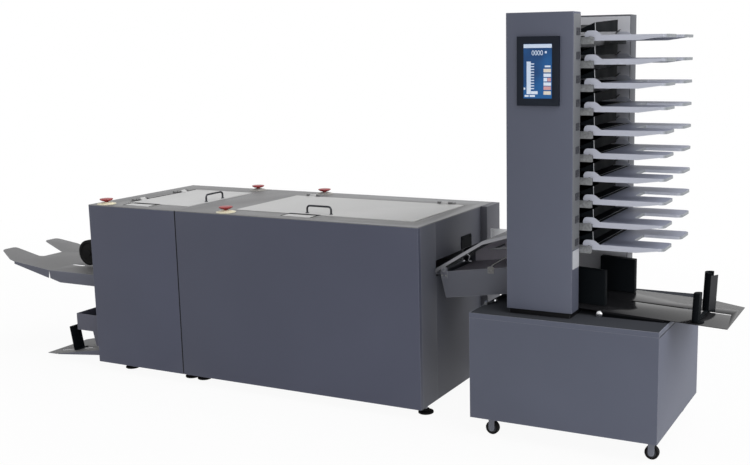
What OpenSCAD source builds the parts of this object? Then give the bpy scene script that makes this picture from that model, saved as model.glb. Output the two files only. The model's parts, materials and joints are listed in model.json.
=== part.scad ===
// Floor-standing booklet maker: trimmer, stitcher and folder, bridge and ten-bin collator.
// Millimetres. +X runs along the line towards the collator, +Y to the rear, +Z up.
// The origin is on the floor, under the middle of the whole line.

/* [Cabinets] */
// Length of the trimmer cabinet
trimmer_length = 470; // [450:5:520]
// Length of the stitcher cabinet
stitcher_length = 1130; // [1110:5:1250]
// Depth of both cabinets
maker_depth = 690; // [675:5:760]
// Height of both cabinets above the floor
maker_height = 742; // [735:1:800]
// Clear height under both cabinets
ground_gap = 42; // [36:1:50]
// Thickness of folded sheet metal
sheet = 2; // [1.5:0.1:2.5]
// Depth of a panel's folded rim
panel_rim = 20; // [16:1:24]
// Gap between the two cabinets
seam = 3; // [2:0.5:4]
// Width of the frame tubes
tube = 40; // [38:1:44]
// Distance of the levelling feet from the front and the rear
foot_inset = 95; // [85:5:150]
// Diameter of a levelling foot
foot_disc = 60; // [48:1:62]
// Reach of the rear duct past the infeed end
duct_reach = 30; // [20:1:45]
// Depth of the rear duct
duct_depth = 130; // [90:5:140]

/* [Lids] */
// Thickness of the top frame's sheet
top_sheet = 3; // [2:0.5:4]
// Top frame in front of the lids
front_margin = 105; // [100:1:125]
// Top frame behind the lids
rear_margin = 135; // [125:1:160]
// Top frame to the left of the trimmer lid
trimmer_left_margin = 125; // [110:1:140]
// Top frame to the right of the trimmer lid
trimmer_right_margin = 15; // [13:1:22]
// Top frame to the left of the stitcher lid
stitcher_left_margin = 225; // [200:1:260]
// Top frame to the right of the stitcher lid
stitcher_right_margin = 70; // [55:1:90]
// Gap around a lid
lid_gap = 3; // [2:0.1:4]
// Rise of a lid above the top frame
lid_rise = 2; // [1:0.5:3]
// Depth of a lid's folded rim
lid_depth = 10; // [8:1:14]
// Width of the ledge that a lid rests on
seat_width = 12; // [8:1:16]
// Width of a lid's front tab
tab_width = 150; // [120:5:170]
// Reach of a lid's front tab
tab_reach = 65; // [50:1:70]
// Length of a lid handle
handle_length = 120; // [100:1:140]
// Height of a lid handle
handle_height = 34; // [28:1:40]
// Diameter of a lid handle's rod
handle_rod = 8; // [6:1:10]
// Diameter of a lid hinge's pin
hinge_pin = 5; // [4:0.5:6]

/* [Emergency stops] */
// Diameter of the yellow legend ring
stop_ring = 70; // [60:1:80]
// Diameter of the mushroom head
stop_head = 50; // [40:1:56]
// Travel of the mushroom head
stop_travel = 3; // [2:0.5:4]

/* [Paper path] */
// Distance of the paper's centre line from the front
paper_line = 260; // [250:1:275]
// Clear width between the inner side plates
path_width = 330; // [320:1:340]
// Thickness of the inner side plates
side_plate = 5; // [4:1:8]
// Distance of the paper deck below the cabinets' top
deck_drop = 202; // [196:1:210]
// Thickness of the paper deck
deck_sheet = 4; // [3:0.5:5]
// Diameter of a fold roller
fold_roller = 50; // [44:1:52]
// Travel of the fold knife
knife_travel = 40; // [30:1:42]
// Travel of the upper blade
blade_travel = 40; // [30:1:42]
// Travel of the stitch heads
stitch_travel = 4; // [3:0.5:5]

/* [Delivery] */
// Distance of the catch tray below the cabinets' top
catch_drop = 324; // [320:1:332]
// Width of the catch tray
catch_width = 420; // [400:1:430]
// Length of the catch tray's level section
catch_level = 318; // [300:1:340]
// Length of the catch tray's first rise
catch_rise = 215; // [200:1:240]
// Length of the catch tray's prongs past the second bend
catch_prong = 122; // [110:1:140]
// Diameter of the delivery wheel
delivery_wheel_d = 116; // [110:1:128]
// Reach of the waste chute
chute_reach = 179; // [150:1:200]
// Height of the waste chute's wall
chute_height = 76; // [66:1:86]
// Length of the lower tray
lower_reach = 397; // [380:1:410]

/* [Bridge] */
// Width of the bridge conveyor
bridge_width = 280; // [260:1:300]
// Height of the bridge conveyor's side plates
bridge_plate = 98; // [90:1:104]
// Gap between the infeed end and the bridge conveyor
bridge_gap = 28; // [24:1:34]
// Rise of the side plates' upper edge above the paper deck, at the infeed end
bridge_rise = 16; // [15:1:22]

/* [Collator] */
// Gap between the stitcher cabinet and the collator cabinet
collator_gap = 230; // [215:1:260]
// Length of the collator cabinet
collator_length = 685; // [660:1:720]
// Depth of the collator cabinet
collator_depth = 590; // [584:1:620]
// Distance of the collator cabinet's face in front of the stitcher's
collator_forward = 60; // [50:1:75]
// Height of the collator cabinet's floor
caster_height = 72; // [70:1:80]
// Distance of the collator cabinet's top below the other cabinets' top
collator_drop = 282; // [278:1:290]
// Diameter of a caster wheel
caster_wheel_d = 50; // [46:1:52]
// Distance of the tower from the cabinet's left end
tower_inset = 127; // [110:1:140]
// Width of the tower's front column
column_width = 240; // [220:1:260]
// Depth of the tower's front column
column_depth = 74; // [66:1:80]
// Reach of the rear column past the front column
rear_reach = 58; // [50:1:66]
// Height of the tower's base
tower_base_height = 20; // [14:1:24]
// Height of the lowest bin above the tower's base
first_bin_rise = 232; // [225:1:245]
// Distance from bin to bin
bin_pitch = 79; // [77:0.5:86]
// Height of the tower above the highest bin
tower_headroom = 77; // [70:1:100]
// Width of a bin
bin_width = 374; // [366:1:380]
// Length of a bin's plate
bin_length = 223; // [200:1:240]
// Height of a bin's front flange
bin_flange = 19; // [17:1:21]
// Length of a bin's fork slot
bin_slot = 138; // [120:1:150]
// Diameter of a bin's pin
bin_pin = 8; // [7:0.5:9]

/* [Stacker] */
// Reach of the stacker tray past the collator cabinet
stacker_reach = 195; // [170:1:220]
// Width of the stacker tray
stacker_width = 362; // [350:1:370]
// Rise of the stacker tray above the tower's base, at the front column's right side
stacker_lift = 5; // [5:1:9]
// Height of the stacker stop's front post
stacker_front_post = 98; // [80:1:120]
// Height of the stacker stop's rear post
stacker_rear_post = 135; // [100:1:150]

/* [Hidden] */
$fn = 48;
BIN_COUNT = 10;
ADD = 1;
FIT = 0.1;
RUN = 0.3;
BORE = 0.05;

maker_length = trimmer_length + stitcher_length;
panel_top = maker_height - top_sheet;
plate_front = paper_line - path_width / 2;
plate_rear = paper_line + path_width / 2;
frame_top = ground_gap + tube;

trimmer_x = [0, trimmer_length - seam / 2];
stitcher_x = [trimmer_length + seam / 2, maker_length];
trimmer_frame_x = [panel_rim + FIT, trimmer_x[1]];
stitcher_frame_x = [stitcher_x[0], maker_length - panel_rim - FIT];
frame_spans = [trimmer_frame_x, stitcher_frame_x];
frame_y = [panel_rim + FIT, maker_depth - panel_rim - FIT];
foot_stem_r = 8;
foot_shift = tube - foot_stem_r - ADD;
cross_inset = 61;
cross_x = [trimmer_frame_x[0] + cross_inset, trimmer_frame_x[1] - tube,
           stitcher_frame_x[0], stitcher_frame_x[1] - tube];
foot_x = [cross_x[0] + tube / 2, cross_x[1] + tube - foot_shift, cross_x[2] + foot_shift, cross_x[3] + foot_shift];

lid_front = front_margin;
lid_rear = maker_depth - rear_margin;
trimmer_opening = [[trimmer_left_margin, lid_front], [trimmer_x[1] - trimmer_right_margin, lid_rear]];
stitcher_opening = [[stitcher_x[0] + stitcher_left_margin, lid_front],
                    [maker_length - stitcher_right_margin, lid_rear]];
trimmer_tab_inset = 30;
stitcher_tab_inset = 268;
trimmer_tab_x = trimmer_opening[0][0] + trimmer_tab_inset;
stitcher_tab_x = stitcher_opening[0][0] + stitcher_tab_inset;
trimmer_handle_from = [14, 195];
stitcher_handle_from = [390, 32];
trimmer_handle_at = [trimmer_opening[1][0] - trimmer_handle_from[0], lid_front + trimmer_handle_from[1]];
stitcher_handle_at = [stitcher_opening[0][0], lid_front] + stitcher_handle_from;
lid_top = maker_height + lid_rise;
seat_top = lid_top - lid_depth - RUN;
seat_sheet = 8;
seat_wall = 8;

hinge_knuckle_r = 4.5;
hinge_axis_rise = lid_rise + hinge_knuckle_r + RUN;
hinge_mid = 30;
hinge_end = 20;
hinge_leaf = 30;
hinge_leaf_sheet = 1.5;
hinge_inset = 90;

stop_ring_sheet = 3;
stop_collar_r = 18;
stop_collar_rise = 9;
stop_collar_top = maker_height + stop_collar_rise;
stop_stem_r = 8;
stop_head_height = 12;
stop_from_edge = 44;
stop_from_end = [62, 228, 48, 315];
stop_positions = [
    [trimmer_x[0] + stop_from_end[0], stop_from_edge],
    [stitcher_x[0] + stop_from_end[1], stop_from_edge],
    [trimmer_x[1] - stop_from_end[2], maker_depth - stop_from_edge],
    [stitcher_x[0] + stop_from_end[3], maker_depth - stop_from_edge]];

deck_height = maker_height - deck_drop;
trimmer_plate_rise = 100;
stitcher_plate_rise = 150;
trimmer_plate_top = deck_height + trimmer_plate_rise;
stitcher_plate_top = deck_height + stitcher_plate_rise;
deck_set_back = 10;
deck_end = maker_length - deck_set_back;
infeed_rim = deck_set_back - ADD;
fold_inset = 330;
fold_x = stitcher_x[0] + fold_inset;
deck_before_fold = 180;
roller_nip = 0.6;
roller_offset = (fold_roller + roller_nip) / 2;
roller_under_deck = 6;
roller_z = deck_height - deck_sheet - fold_roller / 2 - roller_under_deck;
journal_r = 10;
knife_sheet = 1.5;
knife_over_deck = 12;
knife_bottom = deck_height + knife_over_deck;
knife_bar = [20, 25];
beam_rise = 80;
beam_bottom = deck_height + beam_rise;
stitch_inset = 780;
stitch_x = stitcher_x[0] + stitch_inset;
stitch_spread = 75;
stitch_over_deck = 6;
stitch_bottom = deck_height + stitch_over_deck;
stitch_beam = [30, 30];
stitch_head = 40;
stitch_nose = [10, 24, 10];
clincher_bar_size = [20, 40];
spool_from_stitch = 150;
spool_x = stitch_x + spool_from_stitch;
spool_rise = 100;
spool_z = deck_height + spool_rise;
spool_shaft_r = 8;
spool_r = 42;
catch_height = maker_height - catch_drop;
blade_x = 214;
blade_sheet = 12;
blade_bevel = 6;
blade_height = 40;
blade_over_tray = 22;
blade_z = [catch_height + blade_over_tray, catch_height + blade_over_tray + blade_height];
blade_gape = 25;
upper_blade_bottom = blade_z[1] + blade_gape;
upper_blade_height = 95;

chute_bottom = 153;
mouth_over_tray = 8;
chute_mouth_drop = 7;
exit_mouth_z = [catch_height + mouth_over_tray, deck_height];
waste_mouth_z = [chute_bottom + 1.5 * mouth_over_tray, chute_bottom + chute_height - chute_mouth_drop];
mouth_inset = 8;
infeed_mouth_front = 142;
infeed_under_deck = 10;
infeed_over_deck = 52;
infeed_mouth_y = [infeed_mouth_front, maker_depth - duct_depth - sheet];
infeed_mouth_z = [deck_height - infeed_under_deck, deck_height + infeed_over_deck];
inlet_inset = 900;
inlet_height = 150;
inlet_at = [stitcher_x[0] + inlet_inset, inlet_height];
inlet_size = [60, 40];
inlet_depth = 18;
inlet_rim = 6;

catch_front = paper_line - catch_width / 2;
catch_rear = paper_line + catch_width / 2;
catch_angle_1 = 6.5;
catch_angle_2 = 17;
catch_bend_1 = -catch_level;
catch_bend_2 = catch_bend_1 - catch_rise;
catch_tip = catch_bend_2 - catch_prong;
catch_z_1 = catch_height + catch_rise * tan(catch_angle_1);
catch_z_2 = catch_z_1 + catch_prong * tan(catch_angle_2);
prong_root = 62;
prong_tip_in = 88;
prong_tip_out = 166;
prong_chamfer = 95;
prong_ease = 14;
EASE_MIDDLE = 0.29;
notch_past_bend = 22;
catch_lip = 52;
catch_lip_bend = 37;
catch_lip_tip = 12;
catch_lip_taper = 64;
catch_lip_relief = 5;
wheel_x = -188;
wheel_off_line = 82;
wheel_y = paper_line - wheel_off_line;
catch_slot_from_wheel = [126, 48];
catch_slot = [wheel_x - catch_slot_from_wheel[0], wheel_x - catch_slot_from_wheel[1]];
catch_slot_off_line = 72;
catch_slot_r = 9;
wheel_width = 25;
wheel_gap_to_tray = 10;
wheel_z = catch_height + wheel_gap_to_tray + delivery_wheel_d / 2;
wheel_shaft_r = 6;
wheel_arm_sheet = 8;
chute_half = 200;
chute_y = [paper_line - chute_half, paper_line + chute_half];
lower_angle = 10;
lower_root = 84;
lower_front = 220;
lower_rear = 100;
lower_y = [paper_line - lower_front, paper_line + lower_rear];
lower_chamfer = [94, 40];
lower_lip_drop = 26;
tray_stop_x = -230;
tray_stop_inset = 42;
tray_stop_y = lower_y[0] + tray_stop_inset;
tray_stop_sheet = 3;
tray_stop_width = 62;
tray_stop_height = 112;
tray_stop_travel = [100, 60];
slot_width = 12;

tower_x0 = maker_length + collator_gap + tower_inset;
tower_x1 = tower_x0 + column_width;
bridge_x0 = maker_length + bridge_gap;
bridge_x1 = tower_x0 - FIT;
cover_clear = 7;
cover_x1 = tower_x0 - cover_clear;
bridge_y = [paper_line - bridge_width / 2, paper_line + bridge_width / 2];
bridge_height = deck_height + bridge_rise;
bridge_slope = 0.137;
bridge_end_height = bridge_height + (bridge_x1 - bridge_x0) * bridge_slope;
bridge_slant = 24;
bed_drop = 14;
cover_hinge_in = 17;
cover_hinge_rise = 10;
cover_hinge_x = bridge_x0 + cover_hinge_in;
cover_hinge_z = bridge_height + cover_hinge_rise;
cover_pin_r = 4;
cover_overhang = 34;
cover_angle_1 = 31.4;
cover_angle_2 = 17;
cover_bend_run = 161;
cover_side_gap = 4;
cover_flange = 14;
cover_ear = 9;
cover_over_plate = 3;
cover_x0 = cover_hinge_x - cover_overhang;
cover_bend_x = cover_hinge_x + cover_bend_run;
cover_z0 = cover_hinge_z + 1;
cover_bend_z = cover_z0 + (cover_bend_x - cover_x0) * tan(cover_angle_1);
cover_end_z = cover_bend_z + (cover_x1 - cover_bend_x) * tan(cover_angle_2);

collator_x = [maker_length + collator_gap, maker_length + collator_gap + collator_length];
collator_y = [-collator_forward, collator_depth - collator_forward];
collator_top = maker_height - collator_drop;
collator_lid_height = 18;
column_inset = 45;
column_front = collator_y[0] + column_inset;
column_back = column_front + column_depth;
bin_clear = 14;
bin_y = [column_back + bin_clear, column_back + bin_clear + bin_width];
rear_clear = 10;
rear_front = bin_y[1] + rear_clear;
rear_back = collator_y[1] - ADD;
tower_bottom = collator_top + tower_base_height;
first_bin_z = tower_bottom + first_bin_rise;
tower_top = first_bin_z + (BIN_COUNT - 1) * bin_pitch + tower_headroom;
base_inset = 8;
spine_width = 48;
spine_x1 = tower_x0 + spine_width;
set_slot_height = 18;
set_slot_over_bridge = 4;
set_slot_z = [bridge_end_height + set_slot_over_bridge, bridge_end_height + set_slot_over_bridge + set_slot_height];
bin_start = 70;
bin_x0 = tower_x1 + bin_start;
bin_tip = bin_x0 + bin_length;
bin_pin_set_back = 39;
bin_pin_x = bin_x0 - bin_pin_set_back;
bin_pin_drop = 8;
bin_corner = 10;
hook_reach = 22;
hook_rise = 15;
hook_past_pin = 12;
flange_start = bin_pin_x + hook_past_pin;
flange_taper = 96;
bracket_height = 18;
bracket_root = 40;
bracket_over_pin = 2;
feed_inset = 7;
feed_y = [bin_y[0] + feed_inset, bin_y[1] - feed_inset];
feed_set_back = 5;
feed_table = 4;
feed_throat = 14;
feed_height = 42;
feed_housing_set_back = 27;
feed_housing_width = 260;
screen_size = [150, 230];
screen_depth = 12;
screen_rim = 24;
screen_drop = 79;
screen_from_left = 44;

stacker_slope = 0.047;
stacker_height = tower_bottom + stacker_lift;
stacker_tip = collator_x[1] + stacker_reach;
stacker_set_back = 20;
stacker_x0 = spine_x1 + stacker_set_back;
stacker_y = [bin_y[0] - feed_inset, bin_y[0] - feed_inset + stacker_width];
stacker_chamfer = [120, 42];
stacker_slot_inset = 190;
stacker_slot_y = stacker_y[0] + stacker_slot_inset;
stacker_slot_start = 132;
stacker_stop_set_back = 105;
stacker_stop_x = stacker_tip - stacker_stop_set_back;
stop_post_r = 21;
stop_post_wall = 3;
stop_post_y = [-155, 25];
guide_height = 126;
guide_thick = 30;
guide_front_from = [40, 72];
guide_rear_from = [20, 112];
guide_front_x = [tower_x1 - guide_front_from[0], tower_x1 + guide_front_from[1]];
guide_rear_x = [tower_x1 - guide_rear_from[0], tower_x1 + guide_rear_from[1]];
guide_front_inset = 64;
guide_rear_inset = 58;

caster_inset = [48, 55];
rear_caster_inset = 76;
caster_trail = 18;
caster_plate = 4;
kingpin_r = 6;
fork_sheet = 4;
fork_top = caster_height - caster_plate - RUN;
fork_crown = 8;
caster_axle_r = 4;
caster_width = 20;
lever_inset = [10, 130];
lever_at = [collator_x[0] + lever_inset[0], collator_y[0] + lever_inset[1]];
lever_pin_r = 4;
lever_pin_height = 14;
lever_arm = 40;
lever_rest_angle = 34;

centre_x = (catch_tip + stacker_tip) / 2;
centre_y = (collator_y[0] + maker_depth) / 2;

// Height of bin k, where bin 1 is the highest
function bin_z(k) = first_bin_z + (BIN_COUNT - k) * bin_pitch;

// Height of the stacker tray's upper face
function stacker_z(x) = stacker_height - (x - tower_x1) * stacker_slope;

// Height of the lower tray's upper face
function lower_z(x) = lower_root + x * tan(lower_angle);

// Height of the bridge side plates' upper edge
function bridge_z(x) = bridge_height + (x - bridge_x0) * bridge_slope;

// Height of the bridge cover's upper face
function cover_z(x) = x < cover_bend_x
    ? cover_z0 + (x - cover_x0) * tan(cover_angle_1)
    : cover_bend_z + (x - cover_bend_x) * tan(cover_angle_2);

// Moves the line so that the origin lies under its middle
module on_floor() translate([-centre_x, -centre_y, 0]) children();

// A block between two corners
module block(low, high) translate(low) cube(high - low);

// Round bars along each axis
module bar_x(x0, x1, y, z, r) translate([x0, y, z]) rotate([0, 90, 0]) cylinder(h = x1 - x0, r = r);
module bar_y(x, y0, y1, z, r) translate([x, y0, z]) rotate([-90, 0, 0]) cylinder(h = y1 - y0, r = r);
module bar_z(x, y, z0, z1, r) translate([x, y, z0]) cylinder(h = z1 - z0, r = r);

// An outline in X and Z, extruded from y0 to y1
module side_profile(points, y0, y1)
    translate([0, y1, 0]) rotate([90, 0, 0]) linear_extrude(y1 - y0) polygon(points);

// A flat outline, extruded from z0 to z1
module plan(z0, z1) translate([0, 0, z0]) linear_extrude(z1 - z0) children();

// A rectangle with round corners
module rounded_rect(low, high, r) {
    translate([low[0] + r, low[1]]) square([high[0] - low[0] - 2 * r, high[1] - low[1]]);
    translate([low[0], low[1] + r]) square([high[0] - low[0], high[1] - low[1] - 2 * r]);
    for (x = [low[0] + r, high[0] - r], y = [low[1] + r, high[1] - r]) translate([x, y]) circle(r);
}

// A slot with round ends, along X
module oblong(x0, x1, y, r) {
    translate([x0 + r, y - r]) square([x1 - x0 - 2 * r, 2 * r]);
    for (x = [x0 + r, x1 - r]) translate([x, y]) circle(r);
}

// A folded sheet panel, open towards the direction given
module panel(low, high, open)
    difference() {
        block(low, high);
        block([for (i = [0:2]) open[i] < 0 ? low[i] - ADD : low[i] + sheet],
              [for (i = [0:2]) open[i] > 0 ? high[i] + ADD : high[i] - sheet]);
    }

// A hollow sheet box
module shell(low, high)
    difference() {
        block(low, high);
        block(low + sheet * [1, 1, 1], high - sheet * [1, 1, 1]);
    }

// Square tube between two corners, open at both ends along the axis given
module square_tube(low, high, axis)
    difference() {
        block(low, high);
        block([for (i = [0:2]) i == axis ? low[i] - ADD : low[i] + sheet],
              [for (i = [0:2]) i == axis ? high[i] + ADD : high[i] - sheet]);
    }

module base_frames() color("dimgray") {
    for (span = frame_spans) {
        for (y = [frame_y[0], frame_y[1] - tube])
            square_tube([span[0], y, ground_gap], [span[1], y + tube, frame_top], 0);
        for (x = [span[0], span[1] - tube], y = [frame_y[0], frame_y[1] - tube])
            square_tube([x, y, frame_top + FIT], [x + tube, y + tube, panel_top - FIT], 2);
    }
    for (x = cross_x)
        square_tube([x, frame_y[0] + tube + FIT, ground_gap], [x + tube, frame_y[1] - tube - FIT, frame_top], 1);
    for (y = [frame_y[0] + tube / 2, frame_y[1] - tube / 2], z = [frame_top + tube, panel_top - tube])
        bar_x(trimmer_x[1] + FIT, stitcher_x[0] - FIT, y, z, tube / 4);
    for (y = [plate_front - side_plate, plate_rear]) {
        block([trimmer_frame_x[0], y, frame_top + FIT],
              [trimmer_frame_x[1], y + side_plate, trimmer_plate_top]);
        stitcher_side_plate(y);
    }
}

// Inner plate of the stitcher, with bores for the fold rollers and the wire spools
module stitcher_side_plate(y)
    difference() {
        block([stitcher_frame_x[0], y, frame_top + FIT],
              [stitcher_frame_x[1], y + side_plate, stitcher_plate_top]);
        for (s = [-1, 1])
            bar_y(fold_x + s * roller_offset, y - ADD, y + side_plate + ADD, roller_z, journal_r + BORE);
        bar_y(spool_x, y - ADD, y + side_plate + ADD, spool_z, spool_shaft_r + BORE);
    }

module front_panels() color([0.29, 0.30, 0.34])
    for (span = [trimmer_x, stitcher_x])
        panel([span[0], 0, ground_gap], [span[1], panel_rim, panel_top - FIT], [0, 1, 0]);

module rear_panels() color([0.29, 0.30, 0.34]) {
    y0 = maker_depth - panel_rim;
    panel([trimmer_x[0], y0, ground_gap], [trimmer_x[1], maker_depth, panel_top - FIT], [0, -1, 0]);
    difference() {
        panel([stitcher_x[0], y0, ground_gap], [stitcher_x[1], maker_depth, panel_top - FIT], [0, -1, 0]);
        block([inlet_at[0], y0, inlet_at[1]],
              [inlet_at[0] + inlet_size[0], maker_depth + ADD, inlet_at[1] + inlet_size[1]]);
    }
    power_inlet();
    panel([maker_length + FIT, maker_depth - duct_depth, ground_gap],
          [maker_length + duct_reach, maker_depth, maker_height], [-1, 0, 0]);
}

// Socket for a mains lead, set into the stitcher's rear panel
module power_inlet() {
    rim = inlet_rim;
    low = [inlet_at[0] + FIT, maker_depth - inlet_depth, inlet_at[1] + FIT];
    high = [inlet_at[0] + inlet_size[0] - FIT, maker_depth, inlet_at[1] + inlet_size[1] - FIT];
    difference() {
        block(low, high);
        block(low + [rim, rim, rim], [high[0] - rim, high[1] + ADD, high[2] - rim]);
    }
}

module end_panels() color([0.33, 0.34, 0.38]) {
    exit_panel();
    infeed_panel();
    wheel_arm();
}

// Two full-height side panels, and a panel between them above, between and below the mouths
module exit_panel() {
    y = [plate_front + mouth_inset, plate_rear - mouth_inset];
    end_pans([0, panel_rim], y, [ground_gap, waste_mouth_z[0], waste_mouth_z[1],
                                 exit_mouth_z[0], exit_mouth_z[1], panel_top - FIT], [1, 0, 0]);
}

module infeed_panel()
    end_pans([maker_length - infeed_rim, maker_length], infeed_mouth_y,
             [ground_gap, infeed_mouth_z[0], infeed_mouth_z[1], panel_top - FIT], [-1, 0, 0]);

// Folded panels of one end: edges lists the heights where each panel between the side panels starts and ends
module end_pans(x, mouth_y, edges, open) {
    bottom = edges[0];
    top = edges[len(edges) - 1];
    panel([x[0], frame_y[0], bottom], [x[1], mouth_y[0] - FIT, top], open);
    panel([x[0], mouth_y[1] + FIT, bottom], [x[1], frame_y[1], top], open);
    for (i = [0:2:len(edges) - 2])
        panel([x[0], mouth_y[0], edges[i]], [x[1], mouth_y[1], edges[i + 1]], open);
}

// Arm that carries the delivery wheel over the catch tray
module wheel_arm() {
    y0 = wheel_y + wheel_width / 2 + ADD;
    z0 = exit_mouth_z[1] + 6;
    root_height = 34;
    elbow = 45;
    eye = 18;
    difference() {
        union() {
            side_profile([[-FIT, z0], [-FIT, z0 + root_height], [wheel_x + elbow, z0 + root_height - eye],
                [wheel_x - eye, wheel_z + eye / 2], [wheel_x - eye / 2, wheel_z - eye],
                [wheel_x + eye, wheel_z - eye / 2], [wheel_x + elbow + eye, z0]],
                y0, y0 + wheel_arm_sheet);
            bar_y(wheel_x, y0, y0 + wheel_arm_sheet, wheel_z, eye);
        }
        bar_y(wheel_x, y0 - ADD, y0 + wheel_arm_sheet + ADD, wheel_z, wheel_shaft_r + BORE);
    }
}

// Outline of a lid's opening, grown all round
module lid_outline(opening, tab_x, grow) {
    translate(opening[0] - [grow, grow]) square(opening[1] - opening[0] + 2 * [grow, grow]);
    translate([tab_x - grow, opening[0][1] - tab_reach - grow])
        square([tab_width + 2 * grow, 2 * tab_reach]);
}

// Sheet top with a ledge around the lid's opening
module top_frame(span, opening, tab_x) {
    plan(panel_top, maker_height) difference() {
        translate([span[0], 0]) square([span[1] - span[0], maker_depth]);
        lid_outline(opening, tab_x, 0);
    }
    plan(seat_top - seat_sheet, panel_top) difference() {
        lid_outline(opening, tab_x, seat_wall);
        lid_outline(opening, tab_x, 0);
    }
    plan(seat_top - seat_sheet, seat_top) difference() {
        lid_outline(opening, tab_x, seat_wall);
        lid_outline(opening, tab_x, -seat_width);
    }
}

module top_frames() color([0.55, 0.55, 0.55]) {
    top_frame(trimmer_x, trimmer_opening, trimmer_tab_x);
    top_frame(stitcher_x, stitcher_opening, stitcher_tab_x);
}

// Folded lid with its front tab
module lid_pan(opening, tab_x) {
    plan(lid_top - sheet, lid_top) lid_outline(opening, tab_x, -lid_gap);
    plan(lid_top - lid_depth, lid_top - sheet) difference() {
        lid_outline(opening, tab_x, -lid_gap);
        lid_outline(opening, tab_x, -lid_gap - sheet);
    }
}

// Places one hinge at each end of a lid's hinged edge, with the lid on the +X side
module at_trimmer_hinges()
    for (y = [lid_front + hinge_inset, lid_rear - hinge_inset])
        translate([trimmer_opening[0][0], y, maker_height]) children();

module at_stitcher_hinges()
    for (x = [stitcher_opening[0][0] + hinge_inset, stitcher_opening[1][0] - hinge_inset])
        translate([x, lid_rear, maker_height]) rotate([0, 0, -90]) children();

// Hinge leaf and pin that stay on the top frame
module fixed_leaf() {
    half = hinge_mid / 2 + hinge_end;
    bar_y(0, -half, half, hinge_axis_rise, hinge_pin / 2);
    block([-hinge_leaf, -half, 0], [-hinge_knuckle_r - ADD, half, hinge_leaf_sheet]);
    for (s = [-1, 1]) {
        y0 = s > 0 ? hinge_mid / 2 + RUN : -half;
        bar_y(0, y0, y0 + hinge_end - RUN, hinge_axis_rise, hinge_knuckle_r);
        block([-hinge_leaf, y0, 0], [0, y0 + hinge_end - RUN, hinge_axis_rise]);
    }
}

// Hinge leaf that turns with the lid
module lid_leaf()
    difference() {
        union() {
            bar_y(0, -hinge_mid / 2, hinge_mid / 2, hinge_axis_rise, hinge_knuckle_r);
            block([0, -hinge_mid / 2, lid_rise], [hinge_leaf / 3, hinge_mid / 2, hinge_axis_rise]);
            block([0, -hinge_mid / 2, lid_rise], [hinge_leaf, hinge_mid / 2, lid_rise + hinge_leaf_sheet]);
        }
        bar_y(0, -hinge_mid, hinge_mid, hinge_axis_rise, hinge_pin / 2 + BORE);
    }

module lid_hinges() color("silver") {
    at_trimmer_hinges() fixed_leaf();
    at_stitcher_hinges() fixed_leaf();
}

module trimmer_lid() color([0.78, 0.78, 0.78]) {
    lid_pan(trimmer_opening, trimmer_tab_x);
    at_trimmer_hinges() lid_leaf();
}

module stitcher_lid() color([0.78, 0.78, 0.78]) {
    lid_pan(stitcher_opening, stitcher_tab_x);
    at_stitcher_hinges() lid_leaf();
}

// Bow handle along X, standing on the plane below it
module bow_handle() {
    r = handle_rod / 2;
    half = handle_length / 2 - r;
    bar_x(-half, half, 0, handle_height - r, r);
    for (s = [-1, 1]) {
        bar_z(s * half, 0, 0, handle_height - r, r);
        translate([s * half, 0, handle_height - r]) sphere(r);
        bar_z(s * half, 0, 0, 3, 2 * r - 1);
    }
}

module trimmer_lid_handle() color([0.1, 0.1, 0.1])
    translate([trimmer_handle_at[0], trimmer_handle_at[1], lid_top]) rotate([0, 0, 90]) bow_handle();

module stitcher_lid_handle() color([0.1, 0.1, 0.1])
    translate([stitcher_handle_at[0], stitcher_handle_at[1], lid_top]) bow_handle();

module levelling_feet() color([0.12, 0.12, 0.12])
    for (x = foot_x, y = [foot_inset, maker_depth - foot_inset]) {
        disc = 9;
        bar_z(x, y, 0, disc, foot_disc / 2);
        bar_z(x, y, disc, 2 * disc, foot_disc / 4);
        bar_z(x, y, 2 * disc, ground_gap - FIT, foot_stem_r);
    }

module estop_bases() color("gold")
    for (at = stop_positions)
        difference() {
            union() {
                bar_z(at[0], at[1], maker_height + FIT, maker_height + stop_ring_sheet, stop_ring / 2);
                bar_z(at[0], at[1], maker_height + FIT, stop_collar_top, stop_collar_r);
            }
            bar_z(at[0], at[1], maker_height - ADD, stop_collar_top + ADD, stop_stem_r + BORE);
        }

// Mushroom head on its stem
module estop_button(at) color("crimson") {
    z0 = stop_collar_top + stop_travel + RUN;
    r = stop_head / 2;
    edge = 4;
    bar_z(at[0], at[1], maker_height + stop_travel + 2 * RUN, z0 + edge, stop_stem_r);
    translate([at[0], at[1], z0]) rotate_extrude()
        polygon([[0, 0], [r - edge, 0], [r, edge], [r, stop_head_height - edge],
                 [r - edge, stop_head_height], [0, stop_head_height]]);
}

module lower_blade() color("silver")
    side_profile([[blade_x, blade_z[0]], [blade_x + blade_sheet, blade_z[0]],
                  [blade_x + blade_sheet, blade_z[1] - blade_bevel], [blade_x, blade_z[1]]],
                 plate_front + FIT, plate_rear - FIT);

module upper_blade() color("silver") {
    x1 = blade_x - RUN;
    top = upper_blade_bottom + upper_blade_height;
    side_profile([[x1, upper_blade_bottom], [x1, top], [x1 - blade_sheet, top],
                  [x1 - blade_sheet, upper_blade_bottom + blade_bevel]],
                 plate_front + RUN, plate_rear - RUN);
}

module paper_deck() color("lightgray") {
    knife_slot = 10;
    stitch_slot = [14, 40];
    x0 = fold_x - deck_before_fold;
    difference() {
        block([x0, plate_front + FIT, deck_height - deck_sheet],
              [deck_end, plate_rear - FIT, deck_height]);
        block([fold_x - knife_slot / 2, plate_front + 10, deck_height - deck_sheet - ADD],
              [fold_x + knife_slot / 2, plate_rear - 10, deck_height + ADD]);
        for (s = [-1, 1])
            block([stitch_x - stitch_slot[0] / 2, paper_line + s * stitch_spread - stitch_slot[1] / 2,
                   deck_height - deck_sheet - ADD],
                  [stitch_x + stitch_slot[0] / 2, paper_line + s * stitch_spread + stitch_slot[1] / 2,
                   deck_height + ADD]);
    }
}

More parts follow.
